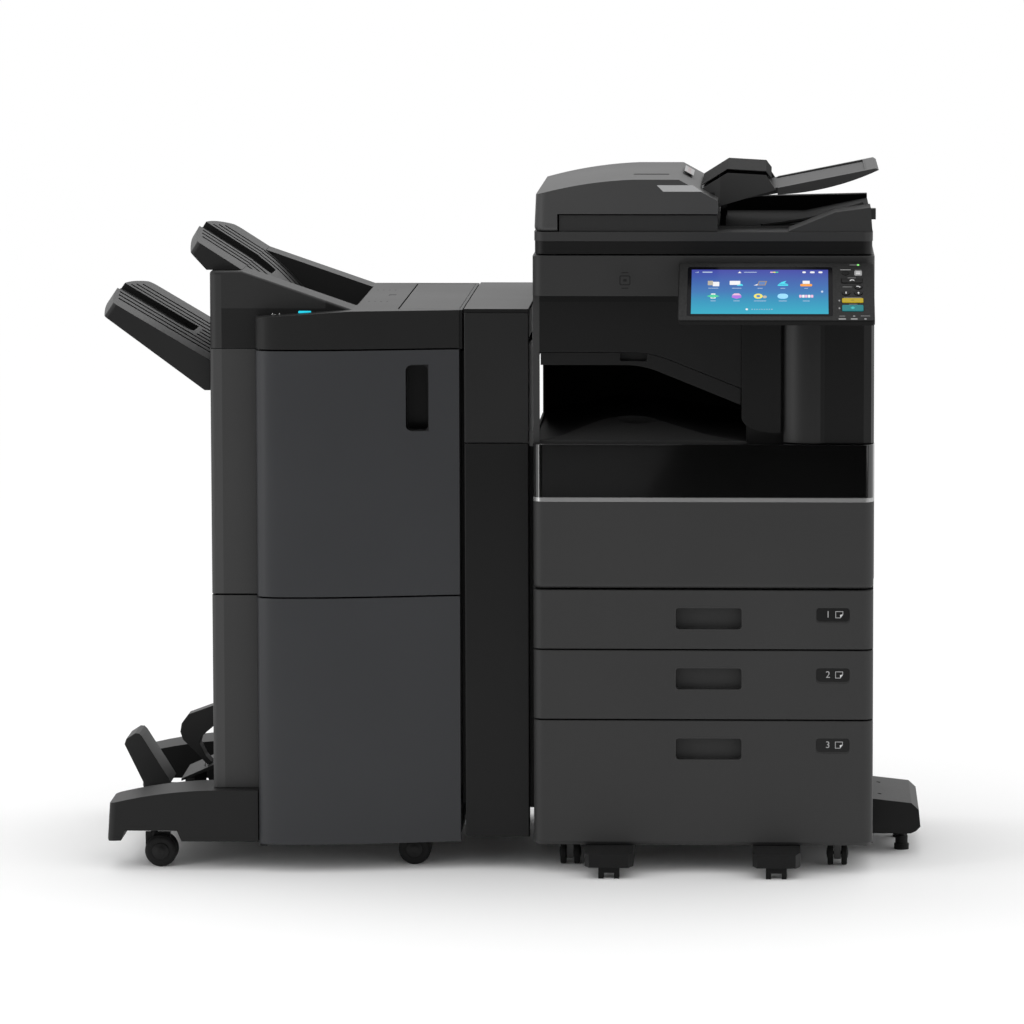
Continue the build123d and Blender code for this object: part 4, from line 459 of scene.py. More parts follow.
zones = [((-far, front + 0.012, 0), (far, far, far), grey(26), 0.45)]
cover_front = moulded("front_cover_plastic", front_grey, 0.5, with_net=True, zones=zones)
finish_nodes(cover_front, "front_cover")
smooth_plastic("cabinet_plastic", 40, 0.5, "pedestal")
smooth_plastic("side_cover_plastic", 46, 0.52, "side_covers", "bypass_tray")
smooth_plastic("rear_cover_plastic", 50, 0.52, "rear_cover")
finish_nodes(moulded("frame_plastic", grey(16), 0.6, grains=700, edge=0.0008), "main_frame")
print("fronts from", round(front, 4), "back of the fronts", round(front + 0.028, 4))

# %% [markdown]
# Above the drawers runs a thin chromed strip and a piano-black band. Both need a clear
# sharp reflection, so their grain is nearly flat. Fine wipe marks keep the black band from
# looking like a computer picture of glass.

# %% Chrome strip and piano-black band
trim = moulded(
    "strip_chrome", grey(168), 0.22, grains=3000, depth=0.000004, edge=0.0006, specular=0.5,
    dust=0.05, metallic=0.7,
)
finish_nodes(trim, "front_trim")
# The band's rounded edges are lightened strongly, mostly a painted sheen.
gloss = moulded(
    "band_piano_black", grey(3), 0.16, grains=60, depth=0.000004, edge=0.002, rub_and_sheen_tone=3.0,
    specular=0.5, dust=0.1, coat=1.0,
)
finish_nodes(gloss, "gloss_panel")

# %% [markdown]
# Round the output cavity everything is near black: the pillar, the bridge that carries
# paper to the left, its swinging guide and the tray. The right-hand cover's rounded left half
# is painted a little lighter, a painted highlight of its curve, and it is smoother.

# %% Cavity and bridge
cover_low, cover_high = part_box("upper_front_covers")
# A painted highlight: the rounded left half of the cover gets a lighter grey.
lighter = ((cover_low.x + 0.072, -far, 0), (cover_low.x + 0.135, far, far), grey(31), 0.4)
finish_nodes(moulded("upper_cover_plastic", grey(12), 0.42, zones=[lighter]), "upper_front_covers")
scanner_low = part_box("scanner_housing")[0]
# The bridge's top 12 mm, right under the scanner, is painted near black: a painted shadow of the scanner above it.
painted_shadow_under_scanner = ((-far, -far, scanner_low.z - 0.012), (far, far, far), grey(3), 0.6)
bridge_plastic = moulded("bridge_plastic", grey(15), 0.46, zones=[painted_shadow_under_scanner])
finish_nodes(bridge_plastic, "bridge_unit", "bridge_guide")
finish_nodes(moulded("inner_tray_plastic", grey(45), 0.5, depth=0.00006), "exit_tray")
print("cover spans x", round(cover_low.x, 3), round(cover_high.x, 3))

# %% [markdown]
# The scanner is the same plastic as the fronts, without the net. The lid above it has a
# black waist under a lighter rim, and a white pad below that presses the sheet to the
# glass. The feeder on top is a shade lighter, with a near-black roof over its tray.

# %% Scanner, lid and feeder
around_glass = (
    (copier_l + 0.016, front + 0.03, glass_top - 0.012),
    (copier_r - 0.009, far, glass_top + 0.004), grey(24), 0.35,
)
smooth_plastic("scanner_plastic", 41, 0.5, "scanner_housing", zones=[around_glass])
waist = ((-far, -far, 0), (far, far, lid_low.z + 0.022), grey(11), 0.5)
pad_high = (lid_high.x - 0.02, far, lid_low.z + 0.001)
pad = ((lid_low.x + 0.02, front + 0.02, 0), pad_high, grey(225), 0.6)
well = (
    (copier_l + 0.318, front + 0.104, lid_low.z + 0.024),
    (lid_high.x - 0.006, lid_high.y - 0.031, far), grey(5), 0.6, 0.03,
)
smooth_plastic("lid_plastic", 44, 0.5, "platen_lid", zones=[waist, pad, well])
smooth_plastic("feeder_body_plastic", 38, 0.48, "feeder_body")
body_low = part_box("feeder_body")[0]
arch = ((copier_l + 0.32, -far, 0), (far, far, far), grey(47), 0.5)
inner = (
    (-far, front + 0.03, 0), (copier_l + 0.311, front + 0.45, body_low.z + 0.0615), grey(24), 0.5,
)
cover_plastic = moulded(
    "feeder_cover_plastic", grey(57), 0.48, grains=900, zones=[arch, inner], specular=0.33
)
finish_nodes(cover_plastic, "feeder_top_cover")
bed = ((copier_l + 0.266, front + 0.112, 0), (copier_l + 0.573, front + 0.402, far), grey(27), 0.5)
smooth_plastic("document_tray_plastic", 46, 0.48, "document_tray", zones=[bed])
finish_nodes(moulded("guide_plastic", grey(30), 0.4), "guide_front", "guide_rear")
print("lid from", round(lid_low.z, 3), "to", round(lid_high.z, 3))

# %% [markdown]
# Inside stand the four toner cartridges. They are black, with one end in the toner's own
# colour so that nobody swaps them. Each end is a zone on the node, placed by its own span.

# %% Toner cartridges
low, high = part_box("toner_cartridges")
spans = [low.x + (high.x - low.x) * i / 4 for i in range(5)]
toner_colours = [(0.75, 0.6, 0.02), (0.6, 0.02, 0.25), (0.0, 0.25, 0.6), (0.03, 0.03, 0.03)]
ends = [
    ((spans[i], low.y - 1, 0), (spans[i + 1], low.y + 0.016, far), toner_colours[i], 0.4)
    for i in range(4)
]
finish_nodes(moulded("cartridge_plastic", grey(26), 0.45, zones=ends), "toner_cartridges")
print("cartridge spans", [round(v, 3) for v in spans])

# %% [markdown]
# The finisher's doors are a slightly bluish graphite. They are smoother than the copier's
# fronts, so the softboxes draw long upright bands on their curve. The side column, the top
# with its light slopes and the narrow punch unit each have their own tone. A lighter band
# along the left edge of the side column and the tower is a painted highlight of the rounded corner.

# %% Finisher and punch unit
door_tone = (0.0275, 0.0285, 0.031)
grip_box = openings["upper_door_grip"]
# The upper door's grip recess and a 5 mm rim round it are painted near black: painted shade in the recess.
recess = (
    (grip_box[0][0] - 0.005, grip_box[0][1] - 0.011, grip_box[0][2] - 0.005),
    (grip_box[1][0] + 0.005, far, grip_box[1][2] + 0.005), grey(8), 0.5,
)
for name, zones in (("upper_door", [recess]), ("lower_door", [])):
    graphite = moulded(
        name + "_graphite", door_tone, 0.42, grains=2200, depth=0.00002, zones=zones
    )
    finish_nodes(graphite, name)
# A 19 mm band along the left edge is painted lighter: a painted highlight where the rounded corner catches the
# light.
left_edge = (finisher_l + 0.0015, finisher_l + 0.0205)
painted_highlight_band = ((left_edge[0], -far, 0), (left_edge[1], front + 0.05, far), grey(60), 0.5)
smooth_plastic("finisher_side_plastic", 50, 0.5, "finisher_covers", zones=[painted_highlight_band])
finish_nodes(moulded("finisher_frame_plastic", grey(20), 0.55), "finisher_frame")
top_low, top_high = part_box("finisher_top_cover")
well_box = openings["upper_tray_well"]
well_zone = (
    (finisher_l + 0.01, well_box[0][1] - 0.0045, top_low.z + 0.001),
    (well_box[1][0] + 0.02, well_box[1][1] + 0.0045, top_high.z - 0.0075), grey(38), 0.5,
)
flap_low, flap_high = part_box("finisher_flap")
tower_high = (finisher_l + 0.2, well_box[0][1] - 0.006, far)
tower = ((-far, -far, flap_high.z + 0.002), tower_high, grey(40), 0.46)
# The same painted highlight band runs up the tower's left edge.
edge_high = (left_edge[1], front + 0.05, top_high.z - 0.006)
tower_painted_highlight = ((left_edge[0], -far, 0), edge_high, grey(47), 0.46)
flap_gap = (
    (flap_low.x - 0.0035, flap_low.y - 0.0012, 0),
    (flap_high.x + 0.0012, flap_high.y + 0.0012, flap_high.z - 0.0006), grey(4), 0.6,
)
top_plastic = moulded(
    "finisher_top_plastic", grey(27), 0.44, grains=900, specular=0.21,
    zones=[tower, tower_painted_highlight, well_zone, flap_gap],
)
finish_nodes(top_plastic, "finisher_top_cover")
smooth_plastic("flap_plastic", 34, 0.46, "finisher_flap")
smooth_plastic("punch_plastic", 12, 0.44, "punch_unit")
smooth_plastic("punch_door_plastic", 27, 0.44, "punch_door")
tray_plastic = moulded("stacking_tray_plastic", grey(27), 0.46, grains=900, edge=0.0016)
finish_nodes(tray_plastic, "upper_tray", "lower_tray")
print("tray well", [round(v, 3) for v in well_box[0]])

# %% [markdown]
# The finisher rolls on a stand of thick dark castings. Its rear foot shows a lighter face.
# The stopper and the small arm catch folded booklets. Casters have black rubber tyres, and
# the copier's own feet are black too.

# %% Stand, feet and wheels
rear_foot = ((-far, front + 0.45, 0), (finisher_l + 0.02, far, far), grey(24), 0.45, 0.1)
smooth_plastic("stand_plastic", 20, 0.5, "stand", zones=[rear_foot])
smooth_plastic("stopper_plastic", 30, 0.48, "booklet_stopper")
finish_nodes(moulded("arm_plastic", grey(26), 0.45), "booklet_arm")
smooth_plastic("stabiliser_plastic", 9, 0.5, "stabilisers")
finish_nodes(moulded("glide_rubber", grey(14), 0.7, grains=700, depth=0.00008), "stabiliser_glides")
fork_metal = moulded("caster_metal", grey(70), 0.38, depth=0.00002, metallic=1.0, dust=0.4)
finish_nodes(fork_metal, "caster_mounts")
fork_black = moulded("fork_black", grey(12), 0.5, grains=900, edge=0.0008, specular=0.3)
finish_nodes(fork_black, "fork_finisher_front_left", "fork_finisher_front_right")
wheels = [name for name in nodes if name.startswith("wheel_")]
tyre = moulded("tyre_rubber", grey(15), 0.66, grains=1200, depth=0.0001, edge=0.002, dust=0.5)
finish_nodes(tyre, *wheels)
print("wheels", len(wheels))

# %% [markdown]
# The panel is satin black. Its keys differ by colour so that a hand finds them: yellow
# stops, teal starts, the rest are grey or black.

# %% Panel and keys
finish_nodes(
    moulded("panel_plastic", grey(19), 0.5, grains=1100, edge=0.002, specular=0.1), "control_panel"
)
key_black = moulded(
    "key_black", grey(5), 0.4, grains=2600, depth=0.00002, edge=0.0008, specular=0.1, dust=0.1
)
finish_nodes(key_black, "clear_key", "round_key_1", "round_key_2", "round_key_3")
key_pale = moulded("key_pale", grey(150), 0.4, grains=2600, depth=0.00002, edge=0.0008)
finish_nodes(key_pale, "power_key")
key_yellow = moulded(
    "key_yellow", (0.46, 0.34, 0.004), 0.4, depth=0.00002, edge=0.0008, rub_and_sheen_tone=1.2, specular=0.12
)
finish_nodes(key_yellow, "stop_key")
key_teal = moulded(
    "key_teal", (0.002, 0.19, 0.21), 0.4, depth=0.00002, edge=0.0008, rub_and_sheen_tone=1.2, specular=0.12
)
finish_nodes(key_teal, "start_key")

# %% [markdown]
# The scan carriage is a black casting with a pale strip where the lamp sits, seen through
# the glass. The glass is clear with a faint green tint, as thick plate glass has at its
# edges. Real platen glass is spotless in use, so only the faintest unevenness bends its
# reflection.

# %% Platen glass and scan carriage
low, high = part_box("scan_carriage")
lamp = ((low.x + 0.018, -far, high.z - 0.006), (low.x + 0.03, far, far), grey(200), 0.3)
finish_nodes(moulded("carriage_plastic", grey(24), 0.45, zones=[lamp]), "scan_carriage")
glass, tree, shader = new_material(
    "platen_glass", Roughness=0.02, IOR=1.5, Transmission_Weight=1.0
)
patches = put_group(tree, drift, Patches_per_metre=6.0).outputs["Drift"]
tint = mix(tree, patches, (0.86, 0.95, 0.92), (0.92, 0.98, 0.96))
bump = add_node(tree, "Bump", Distance=0.00002, Height=patches)
set_inputs(tree, shader, Base_Color=tint, Normal=bump.outputs["Normal"])
finish_nodes(glass, "platen_glass")
print("glass top at", round(glass_top, 4))


# %% [markdown]
# The screen is a lit picture behind a cover glass. Its backdrop runs from indigo at the top
# to cyan at the bottom. The colour follows the height of the point on the slope, in the
# panel's own coordinates, so it tilts with the panel. Round the lit area the glass is black.

# %% Screen
tilt = math.radians(30)
display_low, display_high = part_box("display_glass")
# The lit area: its sides, and how far down the slope from the hinge it starts and ends.
lit_l, lit_r = display_low.x + 0.0065, display_high.x - 0.007
lit_top, lit_foot = -0.0165, -0.1475
panel_face = 0.012


def slope_z(along):
    """The height of a point on the panel's face, from its place along the slope."""
    return hinge.z + along * math.sin(tilt) + panel_face * math.cos(tilt)


screen, tree, shader = new_material(
    "screen_glass", Base_Color=(0.003, 0.003, 0.004, 1), Specular_IOR_Level=0.03,
    Emission_Strength=1.0,
)
low_z, high_z = slope_z(lit_foot), slope_z(lit_top)
parts = add_node(tree, "SeparateXYZ", Vector=add_node(tree, "TexCoord").outputs["Object"])
up_share = add_node(
    tree, "MapRange", Value=parts.outputs["Z"], From_Min=low_z, From_Max=high_z
)
ramp = add_node(tree, "ValToRGB", Fac=up_share.outputs["Result"])
ramp.color_ramp.elements[0].color = (0.035, 0.42, 0.57, 1)
ramp.color_ramp.elements[1].color = (0.06, 0.07, 0.38, 1)
for place, colour in ((0.3, (0.035, 0.30, 0.51, 1)), (0.5, (0.05, 0.19, 0.47, 1))):
    ramp.color_ramp.elements.new(place).color = colour
lit_area = put_group(tree, boxed, Low=(lit_l, -far, low_z), High=(lit_r, far, high_z))
glow = mix(tree, lit_area.outputs["Inside"], (0.0, 0.0, 0.0), ramp.outputs["Color"])
smudge = put_group(tree, drift, Patches_per_metre=30.0).outputs["Drift"]
bump = add_node(tree, "Bump", Distance=0.00001, Height=smudge)
set_inputs(
    tree, shader, Emission_Color=glow, Roughness=mix(tree, smudge, 0.1, 0.24),
    Normal=bump.outputs["Normal"],
)
finish_nodes(screen, "display_glass")
print("screen from z", round(display_low.z, 4), "to", round(display_high.z, 4))


# %% [markdown]
# ## Small pieces
# Labels, lamps, symbols and screw heads are thin plates and turned shapes that lie on a
# surface. Each is drawn flat as an outline and then laid on its surface by one matrix: x
# runs right, y runs up, z comes out.

# %% Outlines and the placing matrix
def facing(origin, right, up):
    """The matrix that lays a flat drawing on a surface at origin."""
    right, up = Vector(right).normalized(), Vector(up).normalized()
    turn_to = Matrix((right, up, right.cross(up))).transposed()
    return Matrix.Translation(Vector(origin)) @ turn_to.to_4x4()


def rounded(width, height, radius, x=0.0, y=0.0, steps=4):
    """The outline of a rounded rectangle round (x, y)."""
    points = []
    for k, (sx, sy) in enumerate(((1, 1), (-1, 1), (-1, -1), (1, -1))):
        for i in range(steps + 1):
            angle = math.radians(90 * k + 90 * i / steps)
            points.append((
                x + sx * (width / 2 - radius) + radius * math.cos(angle),
                y + sy * (height / 2 - radius) + radius * math.sin(angle),
            ))
    return points


def oval(width, height, x=0.0, y=0.0, sides=20):
    """The outline of an ellipse round (x, y)."""
    turns = [2 * math.pi * i / sides for i in range(sides)]
    return [(x + width / 2 * math.cos(a), y + height / 2 * math.sin(a)) for a in turns]


RIGHT, UP, BACK = (1, 0, 0), (0, 0, 1), (0, 1, 0)
print("a rounded outline has", len(rounded(1, 1, 0.1)), "points, an oval", len(oval(1, 1)))

# %% [markdown]
# A drawn shape becomes a mesh, the mesh an object, and the object rides on a body, so that
# it moves with the part that carries it. A bevel softens its edges.

# %% From a drawing to a piece
def add_piece(name, mesh, material, body):
    """Makes an object of a mesh, gives it its finish and lets it ride on a body."""
    piece = bpy.data.objects.new(name, mesh)
    bpy.context.scene.collection.objects.link(piece)
    mesh.materials.append(material)
    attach(piece, body)
    return piece


def soften(piece, width, segments=2):
    """Rounds a piece's sharp edges with a bevel."""
    bevel = piece.modifiers.new("soft edge", "BEVEL")
    bevel.width = width
    bevel.segments = segments
    bevel.limit_method = "ANGLE"
    return piece


def close_mesh(bm, name, where=Matrix()):
    """Turns a finished bmesh into a mesh with its faces outwards, laid at its place."""
    bmesh.ops.recalc_face_normals(bm, faces=bm.faces)
    bm.transform(where)
    mesh = bpy.data.meshes.new(name)
    bm.to_mesh(mesh)
    bm.free()
    return mesh


def curve_mesh(name, line):
    """Turns a curve or a line of text into a mesh."""
    drawn = bpy.data.objects.new(name + "_line", line)
    mesh = bpy.data.meshes.new_from_object(drawn)
    bpy.data.objects.remove(drawn)
    mesh.name = name
    mesh.materials.clear()
    return mesh


print("piece helpers ready")

# %% [markdown]
# Most marks are plates: an outline that is lifted off the surface by a hair. Its foot sinks
# a little into the surface, so no gap shows. A frame is a ring between two outlines.

# %% Plates, print and frames
def plates(name, outlines, thickness, where, material, body, slot, sink=0.0002, edge=0.0001):
    """Thin plates in one piece; each outline stands thickness above the surface."""
    bm = bmesh.new()
    for outline in outlines:
        face = bm.faces.new([bm.verts.new((x, y, -sink)) for x, y in outline])
        grown = bmesh.ops.extrude_face_region(bm, geom=[face])["geom"]
        lifted = [v for v in grown if isinstance(v, bmesh.types.BMVert)]
        bmesh.ops.translate(bm, vec=(0, 0, thickness + sink), verts=lifted)
    return soften(add_piece(name, close_mesh(bm, name, where), material, body), edge)


def printed(name, outlines, where, material, body, slot, height=0.0001, edge=0.00003):
    """Ink marks, which stand only a hair above the surface."""
    return plates(name, outlines, height, where, material, body, slot, sink=0.00005, edge=edge)


def frame_plate(name, outer, inner, thickness, where, material, body, edge=0.0001):
    """A flat ring between two outlines of the same number of points."""
    bm = bmesh.new()
    rows = []
    for z in (-0.0002, thickness):
        rows.append([bm.verts.new((x, y, z)) for x, y in outer])
        rows.append([bm.verts.new((x, y, z)) for x, y in inner])
    count = len(outer)
    for a, b in ((0, 2), (2, 3), (3, 1), (1, 0)):
        for i in range(count):
            j = (i + 1) % count
            bm.faces.new((rows[a][i], rows[a][j], rows[b][j], rows[b][i]))
    return soften(add_piece(name, close_mesh(bm, name, where), material, body), edge)


print("plate helpers ready")

# %% [markdown]
# Numbers come from Blender's own plain font. Round things such as screw heads, lamps and
# hubs are turned: a profile runs round an axis, and its last point closes the middle.

# %% Numerals and turned shapes
def numeral(name, text, height, where, material, body):
    """A plain number in raised ink."""
    line = bpy.data.curves.new(name + "_line", "FONT")
    line.body = text
    line.size = height
    line.extrude = 0.00015
    line.align_x = "CENTER"
    line.align_y = "CENTER"
    mesh = curve_mesh(name, line)
    mesh.transform(where)
    return add_piece(name, mesh, material, body)


def turned(name, profile, where, material, body, sides=24):
    """A shape turned on a lathe; profile is (radius, height) from the rim to the middle."""
    bm = bmesh.new()
    rows = []
    for radius, height in profile:
        if radius == 0:
            rows.append([bm.verts.new((0, 0, height))])
            continue
        turns = [2 * math.pi * i / sides for i in range(sides)]
        rows.append([
            bm.verts.new((radius * math.cos(a), radius * math.sin(a), height)) for a in turns
        ])
    for one, two in zip(rows, rows[1:]):
        for i in range(sides):
            j = (i + 1) % sides
            if len(two) == 1:
                bm.faces.new((one[i], one[j], two[0]))
            else:
                bm.faces.new((one[i], one[j], two[j], two[i]))
    if len(rows[0]) > 1:
        bm.faces.new(list(reversed(rows[0])))
    for face in bm.faces:
        face.smooth = True
    return add_piece(name, close_mesh(bm, name, where), material, body)


print("lathe ready")

# %% [markdown]
# Printed marks are ink on plastic: flat and a little rough, with a faint unevenness of tone.
# Lamps are tinted plastic that glows. Both come from small recipes.

# %% Ink and lamps
def ink(name, colour, roughness=0.55):
    """Printed ink: an even tone with fine unevenness."""
    return moulded(
        name, colour, roughness, grains=4000, depth=0.000006, edge=0.0002, rub_and_sheen_tone=1.0,
        specular=0.2, dust=0.0,
    )


def lit(name, colour, strength):
    """Tinted plastic lit from behind, brighter in some spots than others."""
    material = ink(name, [c * 0.3 for c in colour], 0.3)
    tree = material.node_tree
    spots = put_group(tree, drift, Patches_per_metre=150.0).outputs["Drift"]
    glow = mix(tree, spots, [c * 0.85 for c in colour], colour)
    shader = tree.nodes["Principled BSDF"]
    set_inputs(tree, shader, Emission_Strength=strength, Emission_Color=glow)
    return material


white_ink = ink("ink_white", grey(205))
pale_ink = ink("ink_pale", grey(140))
black_ink = ink("ink_black", grey(12))
green_lamp = lit("lamp_green", (0.25, 0.8, 0.2), 1.0)
cyan_lamp = lit("lamp_cyan", (0.02, 0.62, 0.8), 1.0)
print("inks and lamps ready")

# %% [markdown]
# ### What the screen shows
# The picture on the screen is a plain start page: two rows of five signs with a line under
# each, a status line above and page dots below. Flat signs of one colour share a piece.
# They are laid a hair above the glass, in the panel's own slope.

# %% Signs on the screen
slope_up = (0, math.cos(tilt), math.sin(tilt))
out_of_panel = Vector(RIGHT).cross(Vector(slope_up))
face_point = hinge + out_of_panel * panel_face
on_panel = facing((0, face_point.y, face_point.z), RIGHT, slope_up)
signs = {}


def sign(tone, outline, x, y):
    """Adds an outline in millimetres, round a place on the lit area, to its colour."""
    cx = lit_l + (lit_r - lit_l) * x
    cy = lit_top + (lit_foot - lit_top) * y
    signs.setdefault(tone, []).append([(cx + px / 1000, cy + py / 1000) for px, py in outline])


columns = (0.16, 0.331, 0.502, 0.668, 0.839)
for column, width in zip(columns, (17, 16, 9, 8, 6)):
    sign("label", rounded(width, 1.3, 0.6), column, 0.422)
for column, width in zip(columns, (9, 11, 21, 14, 12)):
    sign("label", rounded(width, 1.3, 0.6), column, 0.708)
first, second = 0.312, 0.601
sign("stone", rounded(9, 13, 1, -5, 1), columns[0], first)
sign("white", rounded(11, 13, 1, 4.5, -2), columns[0], first)
sign("white", rounded(18, 12, 1, -3, 1.5), columns[1], first)
sign("cyan", [(0, -7), (11, -7), (9, -2), (4, -1)], columns[1], first)
sign("brown", [(-5, -6), (9, -6), (12, 7), (-2, 7)], columns[2], first)
sign("blue", [(-3, -4), (7.5, -4), (9.5, 5), (-1, 5)], columns[2], first)
sign("white", [(-11, -6), (-4, -6), (-3, -1)], columns[2], first)
sign("cyan", [(-9, -7), (9, -7), (9, -3), (-8, -3)], columns[3], first)
sign("cyan", [(-7, -1.5), (9, -1.5), (3, 1), (6, 8), (-2, 4)], columns[3], first)
sign("orange", rounded(20, 7, 2, 0, -5), columns[4], first)
sign("white", rounded(12, 9, 1, 0, 3.5), columns[4], first)
sign("green", [(-11, 0), (0, -6), (11, 0), (0, 6)], columns[0], second)
sign("white", rounded(8, 3.5, 1.5, 0, 6), columns[0], second)
sign("white", rounded(9, 4, 1.5, 0, -5), columns[0], second)
sign("purple", [(-8, -4), (0, -8), (8, -4), (8, 2), (-8, 2)], columns[1], second)
sign("rose", [(-8, 2.5), (8, 2.5), (4, 8), (-4, 8)], columns[1], second)
sign("yellow", oval(15, 15, -3, 0), columns[2], second)
sign("blue", oval(7, 7, -3, 0), columns[2], second)
sign("stone", oval(7, 8, 8, -2), columns[2], second)
sign("sky", rounded(18, 15, 7), columns[3], second)
for i in range(5):
    sign("white" if i % 2 else "rose", rounded(4.2, 8, 1, (i - 2) * 4.9, 0), columns[4], second)
for i in range(3):
    sign("label", rounded(1.2, 1.5 + i, 0.4, i * 2, i / 2 - 1), 0.03, 0.058)
sign("label", rounded(17, 3.0, 1), 0.115, 0.058)
sign("white", [(-3, -2.5), (3, -2.5), (0, 2.5)], 0.352, 0.058)
sign("label", rounded(22, 1.6, 0.6), 0.43, 0.058)
for tone, x in (("rose", 0.585), ("yellow", 0.605), ("green", 0.625)):
    sign(tone, rounded(4.6, 3, 0.8), x, 0.058)
for x, width in ((0.824, 6), (0.884, 8), (0.944, 7)):
    sign("white", rounded(width, 5.2, 2.2), x, 0.058)
sign("label", oval(4, 6, 0, 0), 0.955, 0.497)
sign("white", oval(4.2, 5.2), 0.406, 0.896)
for i in range(9):
    sign("label", oval(1.8, 2.4), 0.445 + i * 0.018, 0.896)
tones = {
    "white": (0.75, 0.75, 0.77), "label": (0.42, 0.52, 0.68), "stone": (0.42, 0.38, 0.3),
    "cyan": (0.03, 0.62, 0.75), "brown": (0.28, 0.2, 0.12), "blue": (0.06, 0.16, 0.42),
    "orange": (0.8, 0.3, 0.03), "green": (0.04, 0.52, 0.28), "purple": (0.36, 0.12, 0.62),
    "rose": (0.72, 0.42, 0.6), "yellow": (0.75, 0.68, 0.1), "sky": (0.25, 0.6, 0.88),
}
for tone, outlines in signs.items():
    thickness = 0.00012 if tone == "blue" else 0.00008  # blue signs lie over other signs
    plates(
        "sign_" + tone, outlines, thickness, on_panel, lit("sign_" + tone, tones[tone], 0.92),
        "panel", "display_glass", sink=0.00002, edge=0.00002,
    )
print("signs", sum(len(v) for v in signs.values()), "in", len(signs), "colours")

# %% [markdown]
# Round the keys the panel is printed: short lines above each key, two little marks beside
# the stop and start keys, and a green lamp at the top. Three lamps sit on the lower lip.
# The printed words of a real machine are left as plain lines.

# %% Print and lamps on the panel
key_x = (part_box("stop_key")[0].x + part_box("stop_key")[1].x) / 2
# Each line: width, height, corner radius, place beside the keys' middle, place up the slope.
lines = [rounded(w, h, r, key_x + x, y) for w, h, r, x, y in (
    (0.017, 0.0012, 0.0005, 0.004, -0.002), (0.018, 0.0022, 0.0008, -0.0115, -0.0165),
    (0.012, 0.0010, 0.0004, 0.010, -0.0175), (0.014, 0.0011, 0.0004, -0.001, -0.0405),
    (0.016, 0.0011, 0.0004, -0.009, -0.0675), (0.030, 0.0011, 0.0004, 0, -0.0995),
    (0.014, 0.0011, 0.0004, 0.001, -0.1185), (0.010, 0.0012, 0.0004, -0.018, -0.1535),
    (0.004, 0.0030, 0.0012, 0.002, -0.1535), (0.016, 0.0012, 0.0004, 0.021, -0.1530),
)]
beside = [oval(0.003, 0.005, key_x - 0.0225, y) for y in (-0.108, -0.1305)]
on_housing = (on_panel, pale_ink, "panel", "control_panel")
printed("panel_print", lines, *on_housing, height=0.00008, edge=0.00002)
printed("panel_side_marks", beside, *on_housing, height=0.00008, edge=0.00002)
lamp_place = on_panel @ Matrix.Translation((key_x + 0.0102, -0.0022, 0))
dome = [(0.0021, -0.0004), (0.0021, 0.0), (0.0019, 0.0006), (0.0012, 0.0009), (0, 0.001)]
turned("power_lamp", dome, lamp_place, green_lamp, "panel")
lip_lamps = [
    rounded(width, 0.0038, 0.0012, key_x + x, -0.1622)
    for width, x in ((0.0125, -0.018), (0.0115, 0.002), (0.0040, 0.021))
]
plates("lip_lamps", lip_lamps, 0.0004, *on_housing, sink=0.0012)
round_mark = on_panel @ Matrix.Translation((key_x - 0.0115, -0.0265, 0))
cap = [(0.0068, -0.0004), (0.0068, 0.0003), (0.0064, 0.0007), (0.0045, 0.0006), (0, 0.0003)]
turned("home_pad", cap, round_mark, key_black, "panel")
print("panel print and", len(lip_lamps) + 1, "lamps")

# %% [markdown]
# Each key carries its own symbol and presses down with it, so the symbol rides on the key.
# The shapes are simple ones: a bar to stop, a lozenge to start, a bent arrow to clear.

# %% Symbols on the keys
arrow = [
    (-0.004, -0.001), (-0.001, 0.003), (0.0035, 0.002), (0.005, -0.002), (0.003, -0.0005),
    (-0.0005, 0.001), (-0.0015, -0.002),
]
card = [rounded(0.0075, 0.0028, 0.0006, 0, 0.0025), rounded(0.0075, 0.0034, 0.0006, 0, -0.0022)]
flag = [rounded(0.005, 0.0022, 0.0008, -0.001, 0.001), oval(0.0028, 0.0028, 0.002, -0.001)]
drop = [oval(0.0032, 0.0045), rounded(0.0014, 0.002, 0.0004, 0.0, -0.0032)]
lozenge = [(0, -0.004), (0.004, 0), (0, 0.004), (-0.004, 0)]
key_symbols = {
    "power_key": (card, white_ink),
    "clear_key": ([arrow], white_ink),
    "round_key_1": (flag, white_ink),
    "round_key_2": ([rounded(0.0018, 0.006, 0.0006)], white_ink),
    "round_key_3": (drop, white_ink),
    "stop_key": ([rounded(0.005, 0.0016, 0.0006)], ink("ink_olive", (0.16, 0.13, 0.02))),
    "start_key": ([lozenge], ink("ink_aqua", (0.05, 0.45, 0.45))),
}
for name, (outlines, material) in key_symbols.items():
    low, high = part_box(name)
    middle = (low + high) / 2
    # The middle of a key's top face, 1 mm above the panel.
    along = Vector(slope_up).dot(middle - face_point)
    top = face_point + Vector(slope_up) * along + out_of_panel * 0.001
    where = facing((middle.x, top.y, top.z), RIGHT, slope_up)
    plates(
        name + "_symbol", outlines, 0.00008, where, material, name, name,
        sink=0.00003, edge=0.00002,
    )
print("key symbols", len(key_symbols))


# %% [markdown]
# ## Marks and fittings on the copier
# Each drawer has a dark badge that says which paper it holds. A plain number and the sign
# of a sheet with a folded corner stand in for it.

